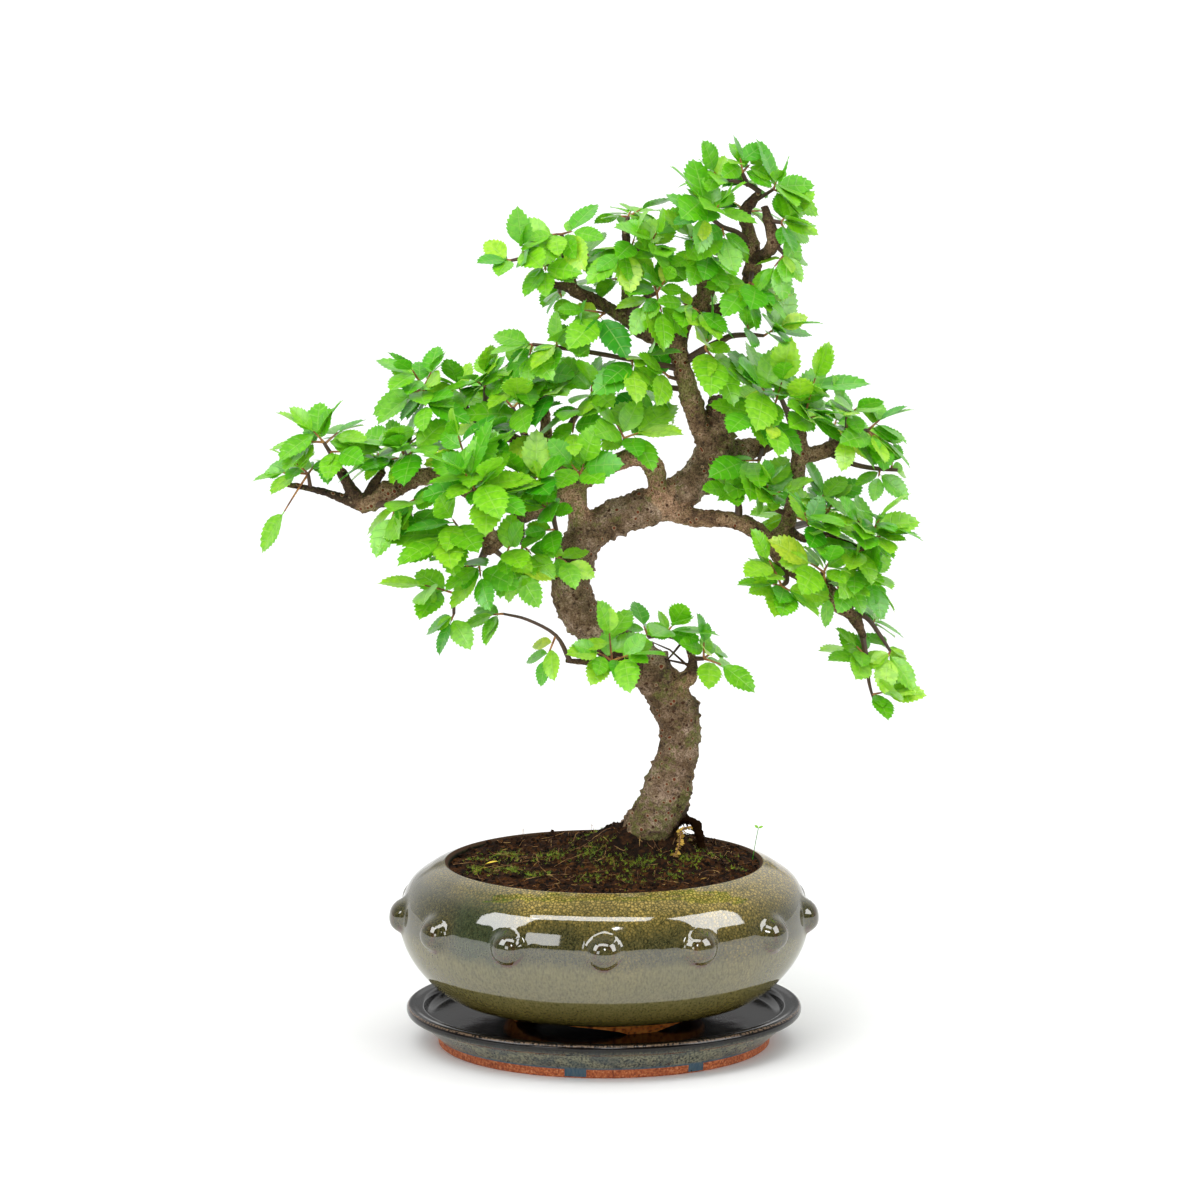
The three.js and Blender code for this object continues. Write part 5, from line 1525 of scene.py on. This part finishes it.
        ],
    ],
    "low_arch": [
        [[-17, 198, -13, 1.4], [-24, 211, -16, 1], [-38, 219, -20, 0.9], [-50, 222, -22, 0.7]],
        [[-60, 221, -24, 4, 16], [-31, 193, -16, 4, 15]],
    ],
    "low_front": [
        [[3, 195, -12, 1.5], [4, 198, -17, 1.1]],
        [[-9, 206, -26, 4, 20], [2, 220, -23, 4, 19], [18, 203, -29, 4, 19]],
    ],
    "low_cross": [
        [[41.5, 208, -1, 1.5], [30.5, 211, -3, 1.3], [22, 210, -4, 1]],
        [[37, 220, -10, 5, 21], [18, 221, 3, 5, 16]],
    ],
    "low_right": [
        [[44.5, 199, -1, 1.4], [50, 199, -3, 1.1]],
        [[50, 214, -4, 4, 15], [67, 193, -9, 3, 21], [58, 204, 14, 4, 16]],
    ],
    "crown_low": [
        [[83.5, 409, -6, 1.4], [89, 403, -8, 1]],
        [[90, 402, -8, 3, 17], [79, 391, -12, 3, 18]],
    ],
    "leader_front": [
        [[43, 374, 0, 1.3], [44, 376, -9, 1]],
        [[51, 372, -18, 3, 22], [34, 381, -14, 4, 17]],
    ],
    "shoulder_low": [
        [[2, 377, 6, 1.3], [0, 374, -3, 1]],
        [[-6, 368, -14, 3, 23], [-16, 376, -10, 3, 16]],
    ],
    "shoulder_gap": [
        [[-18.5, 400, 1, 1.4], [-14, 403, 4, 1]],
        [[-1, 404, 6, 5, 18], [-20, 412, 34, 6, 18]],
    ],
    "shoulder_under": [
        [[-22, 387.5, 3, 1.4], [-22, 385, 9, 1]],
        [[-20, 380, 2, 3, 15], [-18, 392, 32, 5, 17]],
    ],
    "inner_rise": [
        [[107, 262.5, -10, 1.5], [111, 273, -3, 1.1]],
        [[119, 287, 8, 5, 20], [107, 291, 3, 4, 19]],
    ],
    "bend_front": [
        [[106, 240, -15, 1.6], [109, 243, -20, 1.2]],
        [[113, 252, -28, 5, 18], [111, 224, -20, 3, 16], [96, 252, -26, 3, 24]],
    ],
    "bend_back": [
        [[115, 230, -12, 1.7], [118, 233, 4, 1.3]],
        [[116, 242, 26, 5, 18], [134, 226, 20, 5, 17]],
    ],
    "front_right": [
        [[-55, 255, -30, 1.5], [-49, 250, -32, 1.1]],
        [[-36, 237, -34, 5, 18], [-44, 262, -42, 4, 20]],
    ],
    "hanging_left": [
        [[-41, 270, -16, 1.6], [-40.5, 257, -19, 1.2]],
        [[-32, 248, -26, 4, 19], [-43, 240, -24, 3, 15]],
    ],
    "tip_inner": [
        [[-110.5, 293.5, 2, 1.6], [-111, 299, 4, 1.2]],
        [[-118, 305, -10, 5, 20], [-116, 309, 28, 5, 18]],
    ],
    "limb_stub": [
        [[66.5, 269, -8, 2.2], [67, 276, -6, 1.9], [65.5, 283, -5, 1.2]],
        [[58, 287, -10, 4, 15], [73, 287, -10, 4, 16]],
    ],
    "loop_left": [
        [[-36, 276, -10, 1.6], [-38, 285, -18, 1.2]],
        [[-44, 300, -26, 5, 23], [-28, 298, -26, 5, 22], [-52, 308, -22, 4, 20]],
    ],
    "loop_gap": [
        [[-14, 286, -6, 1.3], [-12, 292, -14, 1]],
        [[-8, 304, -18, 4, 20], [-20, 303, -18, 3, 18]],
    ],
    "leader_low": [[[40, 340, 0, 1.3], [32, 342, -6, 1]], [[26, 347, -12, 3, 19]]],
    "leader_side": [
        [[41, 352, -1, 1.3], [50, 356, -8, 1]],
        [[52, 366, -12, 3, 20], [60, 344, -16, 5, 24]],
    ],
    "right_low": [[[80, 308, 20, 1.4], [77, 300, 0, 1]], [[64, 299, -14, 5, 21], [76, 282, -16, 4, 20]]],
    "riser_front": [[[-31, 331, 18, 1.3], [-28, 333, 6, 1]], [[-24, 336, -8, 4, 20]]],
    "crown_tip": [
        [[71, 438, 2, 1.3], [68, 444, -2, 1]],
        [[66, 457, -6, 4, 15], [75, 452, 4, 4, 15], [60, 446, 10, 3, 14]],
    ],
}

# %% Rule for the leaves
HEART = Vector((0, 5, 290))  # the middle of the crown, which the leaves face away from
UP = Vector((0, 0, 1))
FULL = 0xFFFFFFFF
BLADE_WIDTH = 0.6  # over its length


def seeded(seed):
    """Repeatable draws from 0 to 1."""
    state = seed
    while True:
        state = (state + 0x6D2B79F5) & FULL
        mix = (state ^ (state >> 15)) * (state | 1) & FULL
        mix ^= (mix + ((mix ^ (mix >> 7)) * (mix | 61) & FULL)) & FULL
        yield (mix ^ (mix >> 14)) / 2**32


def square_to(heading, wanted):
    """The direction nearest to the wanted one that is square to a heading."""
    return (wanted - heading * wanted.dot(heading)).normalized()


def nearest_on(stem, wanted):
    """The point of a stem that is nearest to a place."""
    found = []
    for a, b in zip(stem, stem[1:]):
        run = (b - a).dot(b - a)
        share = min(1, max(0, (wanted - a).dot(b - a) / run)) if run else 0
        point = a.lerp(b, share)
        found.append(((point - wanted).length, point))
    return min(found, key=lambda pair: pair[0])[1]


def leaves_of(start, end, count, length, draws):
    """Each leaf of a shoot: where its stalk starts, its direction, its face and its length."""
    along = (end - start).normalized()
    for i in range(count):
        share = 0.3 + 0.7 * i / (count - 1) if count > 1 else 1
        root = start.lerp(end, share)
        outward = root - HEART
        outward.z = 0
        outward.normalize()
        jitter = Vector((next(draws) - 0.5, next(draws) - 0.5, next(draws) - 0.5))
        lit = UP + outward * 0.5 + jitter * 0.9
        lit.y -= 0.3
        lit.normalize()
        spread = math.radians(8 if i == count - 1 else 48 + 22 * next(draws))
        sideways = lit.cross(along).normalized() * (1 if i % 2 else -1)
        heading = along * math.cos(spread) + sideways * math.sin(spread)
        heading.z -= 0.12 + 0.25 * next(draws)
        heading.normalize()
        face = square_to(heading, lit)
        middle = 1 - abs(share - 0.72) * 0.5
        yield root, heading, face, length * middle * (0.86 + 0.28 * next(draws))


print("leafy branches:", len(SPRAYS), "shoots:", sum(len(s[1]) for s in SPRAYS.values()))

# %% [markdown]
# Young zelkova leaves are a fresh yellow-green, thin enough for light to glow through, and older ones
# darker. The midrib and the side veins are a little paler and sunk, nine pairs of them, one to a
# tooth. The grid's UV gives the place across and along the blade, so the veins are drawn from it.

# %% Leaf finish
VEINS = 9  # pairs of side veins, one to each tooth
blade_green, shader = new_material("zelkova_leaf_blade", roughness=0.36)
shader.inputs["Subsurface Weight"].default_value = 0.36
shader.inputs["Coat Weight"].default_value = 0.3  # the waxy skin, with its pale sheen
shader.inputs["Coat Roughness"].default_value = 0.3
shader.inputs["Subsurface Radius"].default_value = (0.0016, 0.0022, 0.0006)
unwrapped = add_node(blade_green, "ShaderNodeUVMap", uv_map="UVMap")
uv = add_node(blade_green, "ShaderNodeSeparateXYZ", {"Vector": unwrapped.outputs["UV"]})
off_rib = reckon(blade_green, "SUBTRACT", uv.outputs["X"], 0.5)
rib_away = reckon(blade_green, "ABSOLUTE", off_rib)
rib = ranged(blade_green, rib_away, 0.035, 0.012)
slant = reckon(blade_green, "MULTIPLY", rib_away, -0.3)
on_vein = reckon(blade_green, "ADD", uv.outputs["Y"], slant)
rows_of = reckon(blade_green, "MULTIPLY", on_vein, VEINS)
saw = reckon(blade_green, "PINGPONG", rows_of, 1.0)
vein = ranged(blade_green, saw, 0.16, 0.0)
veins = reckon(blade_green, "MAXIMUM", rib, vein)
own = add_node(blade_green, "ShaderNodeAttribute", attribute_name="tint")
leaf_tone = ramp(
    blade_green,
    own.outputs["Fac"],
    (0, "#34a402"),
    (0.3, "#62c006"),
    (0.62, "#8cd61a"),
    (0.88, "#b0e430"),
    (1, "#d0e644"),
)
at = add_node(blade_green, "ShaderNodeTexCoord").outputs["Object"]
mottle = soft_noise(blade_green, at, 420, 5)
mottle_tone = ramp(blade_green, mottle, (0.36, "#b8dc98"), (0.6, WHITE))
mottled = blend(blade_green, 0.7, leaf_tone, mottle_tone, way="MULTIPLY")
vein_share = reckon(blade_green, "MULTIPLY", veins, 0.34)
veined = blend(blade_green, vein_share, mottled, "#b5dc6e")
wire(blade_green, veined, shader, "Base Color")
quilted = relief(blade_green, veins, 0.45, 0.35 * MM, sunk=True)
wire(blade_green, quilted, shader, "Normal")

# %% Finish of the shoots
shoot_bark, shader = new_material("young_zelkova_shoot", roughness=0.6)
at = add_node(shoot_bark, "ShaderNodeTexCoord").outputs["Object"]
patch = soft_noise(shoot_bark, at, 260, 3)
shoot_tone = ramp(shoot_bark, patch, (0.35, "#6a4022"), (0.5, "#9a6230"), (0.7, "#c08a48"))
fresh = add_node(shoot_bark, "ShaderNodeAttribute", attribute_name="tint")
by_youth = blend(shoot_bark, fresh.outputs["Fac"], "#3e2d22", shoot_tone)
wire(shoot_bark, by_youth, shader, "Base Color")

# %% [markdown]
# Now the branches grow. A leaf that would cut the wood or lie in another leaf is left off, as the
# gardener would thin it. Every stem tapers, and every shoot bows a little under its leaves.

# %% Grow the branches
wood_tree = BVHTree.FromPolygons(
    [tuple(v.co) for v in wood.data.vertices], [tuple(p.vertices) for p in wood.data.polygons]
)
TIP_LEAF = 0.45  # share of its last leaf that a shoot stops short of its tip
GROWN = 1.08  # the leaves are a little larger than their plain solids
TOO_NEAR = 0.3  # share of two leaves' mean length that their middles stay apart
LEAF_ROOM = 1.1  # millimetres between two blades
BARK_ROOM = 0.0015  # metres between a blade's middle and the bark
taken = []
grown_leaves = 0


def leaf_points(root, heading, face, length, bend):
    """The leaf's points set in place; bend rolls it a little about its length."""
    sideways = heading.cross(face) * math.cos(bend) + face * math.sin(bend)
    upright = sideways.cross(heading)
    half = length * BLADE_WIDTH / 2
    points = leaf[0]
    placed = (
        np.outer(points[:, 0] * half, sideways)
        + np.outer((points[:, 1] + STALK) * length, heading)
        + np.outer(points[:, 2] * length * 0.62, upright)
    )
    return (placed + np.array(root)) * MM


def crowded(middle, length):
    """Whether the blade's middle lies in another blade or in the wood."""
    for other, other_face, reach in taken:
        gap = middle - other
        if gap.length < TOO_NEAR * (length + reach) / 2 and abs(gap.dot(other_face)) < LEAF_ROOM:
            return True
    hit = wood_tree.find_nearest(middle * MM)
    return hit[3] is not None and hit[3] < BARK_ROOM

# %% Branch after branch
for number, (name, (stem, shoots)) in enumerate(SPRAYS.items()):
    draws = seeded(1000 + number * 17)
    dice = random.Random(number)
    line = [place_of(p) for p in stem]
    outer = line[1:] if len(line) > 2 else [line[1], line[1]]
    shoot_lines = []
    placed, tints = [], []
    for shoot in shoots:
        reach = place_of(shoot)
        start = nearest_on(outer, reach)
        tip = start.lerp(reach, 1 - min(0.5, TIP_LEAF * shoot[4] / (reach - start).length))
        sag = Vector((dice.gauss(0, 0.02), dice.gauss(0, 0.02), 0.035)) * (tip - start).length
        steps = np.linspace(0, 1, 7)
        knots = [(start.lerp(tip, t) + sag * 4 * t * (1 - t) * 0.5, 0.68 - 0.3 * t) for t in steps]
        shoot_lines.append(knots)
        wanted = list(leaves_of(start, tip, shoot[3], shoot[4] * GROWN, draws))
        wanted += leaves_of(start, tip, shoot[3] // 2 + 1, shoot[4] * 0.8, seeded(len(taken)))
        for root, heading, face, length in wanted:
            middle = root + heading * length * 0.62
            if crowded(middle, length):
                continue
            taken.append((middle, face, length))
            placed.append(leaf_points(root, heading, face, length, dice.gauss(0, 0.12)))
            tints.append(min(1, max(0, dice.gauss(0.52, 0.2))))
    blades = mesh_of_copies(name + "_branch", leaf, placed, tints)
    blades.data.materials.append(blade_green)
    blades.data.materials.append(shoot_bark)
    for part, lines, fresh in (("stem", [limb_line(stem, 4)], 0.1), ("shoots", shoot_lines, 1.0)):
        twig = tubes(f"{name}_{part}", lines, sides=1)
        twig.data.materials.append(shoot_bark)
        set_attribute(twig, "tint", np.full(len(twig.data.vertices), fresh))
        join(blades, twig)
    bpy.ops.object.shade_smooth_by_angle(angle=math.radians(50))
    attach(blades, "root")
    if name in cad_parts:
        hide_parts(name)
    grown_leaves += len(placed)
print("leaves:", grown_leaves)

# %% [markdown]
# ## What grows and lies round the foot
# Small things make the soil look lived in: dark rootlets round a dead root, a withered shoot that
# fell against it, a few yellow leaves, one sprout at the rim and a few bare twigs under the lowest
# branch. They are thin tubes and copies of the leaf, placed where the photograph shows them.

# %% Rootlets and bare twigs
dice = random.Random(23)
dead_root = limb_line(LIMBS["dead_root"], 3)
rootlets = []
for _ in range(90):
    start, radius = dice.choice(dead_root)
    way = Vector((dice.gauss(0, 1), dice.gauss(0, 1), dice.gauss(-0.5, 0.8))).normalized()
    curl = Vector((dice.gauss(0, 1), dice.gauss(0, 1), dice.gauss(-0.6, 0.6))).normalized()
    reach = dice.choice((1.6, 2.2, 2.8, 3.6, 5.5))
    rootlets.append([
        (
            start + way * reach * t + curl * reach * 0.6 * t * t,
            (0.95 - 0.75 * t) * dice.uniform(0.6, 1.1),
        )
        for t in (0, 0.35, 0.7, 1)
    ])
dead_rootlets = tubes("dead_rootlets", rootlets, sides=1)
use(dead_rootlets, None, "bark", bark)

BARE_TWIGS = [
    [[43.5, 195.8, -2], [32, 198.3, -3], [25.5, 201, -4]],
    [[43, 194.3, -1], [33, 203.5, -2], [24, 207.5, -2]],
    [[40, 208.6, -1], [34, 201, -3], [30.5, 197, -4]],
    [[44, 193, -2], [38, 190, -4], [34, 187, -6]],
]
bare_lines = [[(place_of(p), 0.7 - 0.2 * i) for i, p in enumerate(line)] for line in BARE_TWIGS]
bare_twigs = tubes("bare_twigs", bare_lines, sides=1)
use(bare_twigs, None, "bark", bark)

# %% Withered shoot, fallen leaf and sprout
WITHERED = [
    [44, 112, 5], [41, 111.5, 3], [38.5, 109.5, 1], [38.5, 106, -2], [37, 100, -6], [34, 95.5, -9],
]
withered_line = [(place_of(p), 0.5 - 0.05 * i) for i, p in enumerate(WITHERED)]
# leaves that fell on the soil: place across and back, length, and tint from brown to yellow
FALLEN = [(-60, -3, 6, 1), (-62, -10, 3, 0.9), (-52, 22, 3, 0.4), (48, -36, 3, 0.4)]
SPROUT = [(75, 8, 92), (76, 8, 98), (77, 8, 104), (78, 7, 109.5)]
withered_stem = tubes("withered_stem", [withered_line], sides=1)
use(withered_stem, None, "soil", dry_stem)
sprout_stem = tubes("sprout_stem", [[(p, 0.2) for p in SPROUT]], sides=1)

placed = []
smooth_line = [Vector(row[:3]) for row in flowing([(*p, r) for p, r in withered_line], 5)]
for index, spot in enumerate(smooth_line[1:]):
    for side in (-1, 1):
        heading = Vector((side * dice.uniform(0.5, 1), dice.uniform(-0.6, 0.2), dice.uniform(-0.9, 0.1)))
        heading.normalize()
        face = Vector((dice.gauss(0, 0.6), -0.7, dice.gauss(0.4, 0.4))).normalized()
        face = square_to(heading, face)
        placed.append(leaf_points(spot, heading, face, dice.uniform(1.3, 2.7), dice.gauss(0, 0.9)))
for x, y, length, _ in FALLEN:
    turn_by = dice.uniform(-0.6, 0.6)
    heading = Vector((math.cos(turn_by), math.sin(turn_by) * 0.5, 0.3)).normalized()
    face = square_to(heading, Vector((0.2, -0.3, 1)))
    on_soil = Vector((x, y, soil_level(x, y) + lumps(x, y) + 1.2))
    placed.append(leaf_points(on_soil, heading, face, length, 0.4))
tints = [dice.uniform(0, 0.8) for _ in placed[: -len(FALLEN)]] + [tint for *_, tint in FALLEN]
withered = mesh_of_copies("withered_leaves", leaf, placed, tints)

# %% Finish of the withered leaves
withered_blade, shader = new_material("withered_leaf_blade", roughness=0.75)
own = add_node(withered_blade, "ShaderNodeAttribute", attribute_name="tint")
withered_tone = ramp(
    withered_blade,
    own.outputs["Fac"],
    (0, "#7a5a18"),
    (0.4, "#b08a2a"),
    (0.8, "#d8b040"),
    (1, "#fcdc3c"),
)
wire(withered_blade, withered_tone, shader, "Base Color")
use(withered, None, "soil", withered_blade)

# %% Sprout
placed = []
for turn_by in (0.3, 2.2, 4.4):
    heading = Vector((math.cos(turn_by), math.sin(turn_by) * 0.6, 0.5)).normalized()
    face = square_to(heading, Vector((0, -0.5, 1)))
    placed.append(leaf_points(Vector(SPROUT[-1]), heading, face, 2.5, 0))
sprout = mesh_of_copies("sprout", leaf, placed, [0.7] * 3)
sprout.data.materials.append(blade_green)
sprout_stem.data.materials.append(blade_green)
join(sprout, sprout_stem)
use(sprout, None, "leaf", blade_green)

# %% [markdown]
# ## Sizes
# Bark, leaves and glaze stand a little proud of the plain solids, so both boxes are measured.

# %% Measure both boxes and print the dressed one
boxes = {
    "cad": [list(corner) for corner in cad_box],
    "visual": [list(corner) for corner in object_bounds()],
}
print("box of the dressed tree in mm:", [round(v / MM) for corner in boxes["visual"] for v in corner])
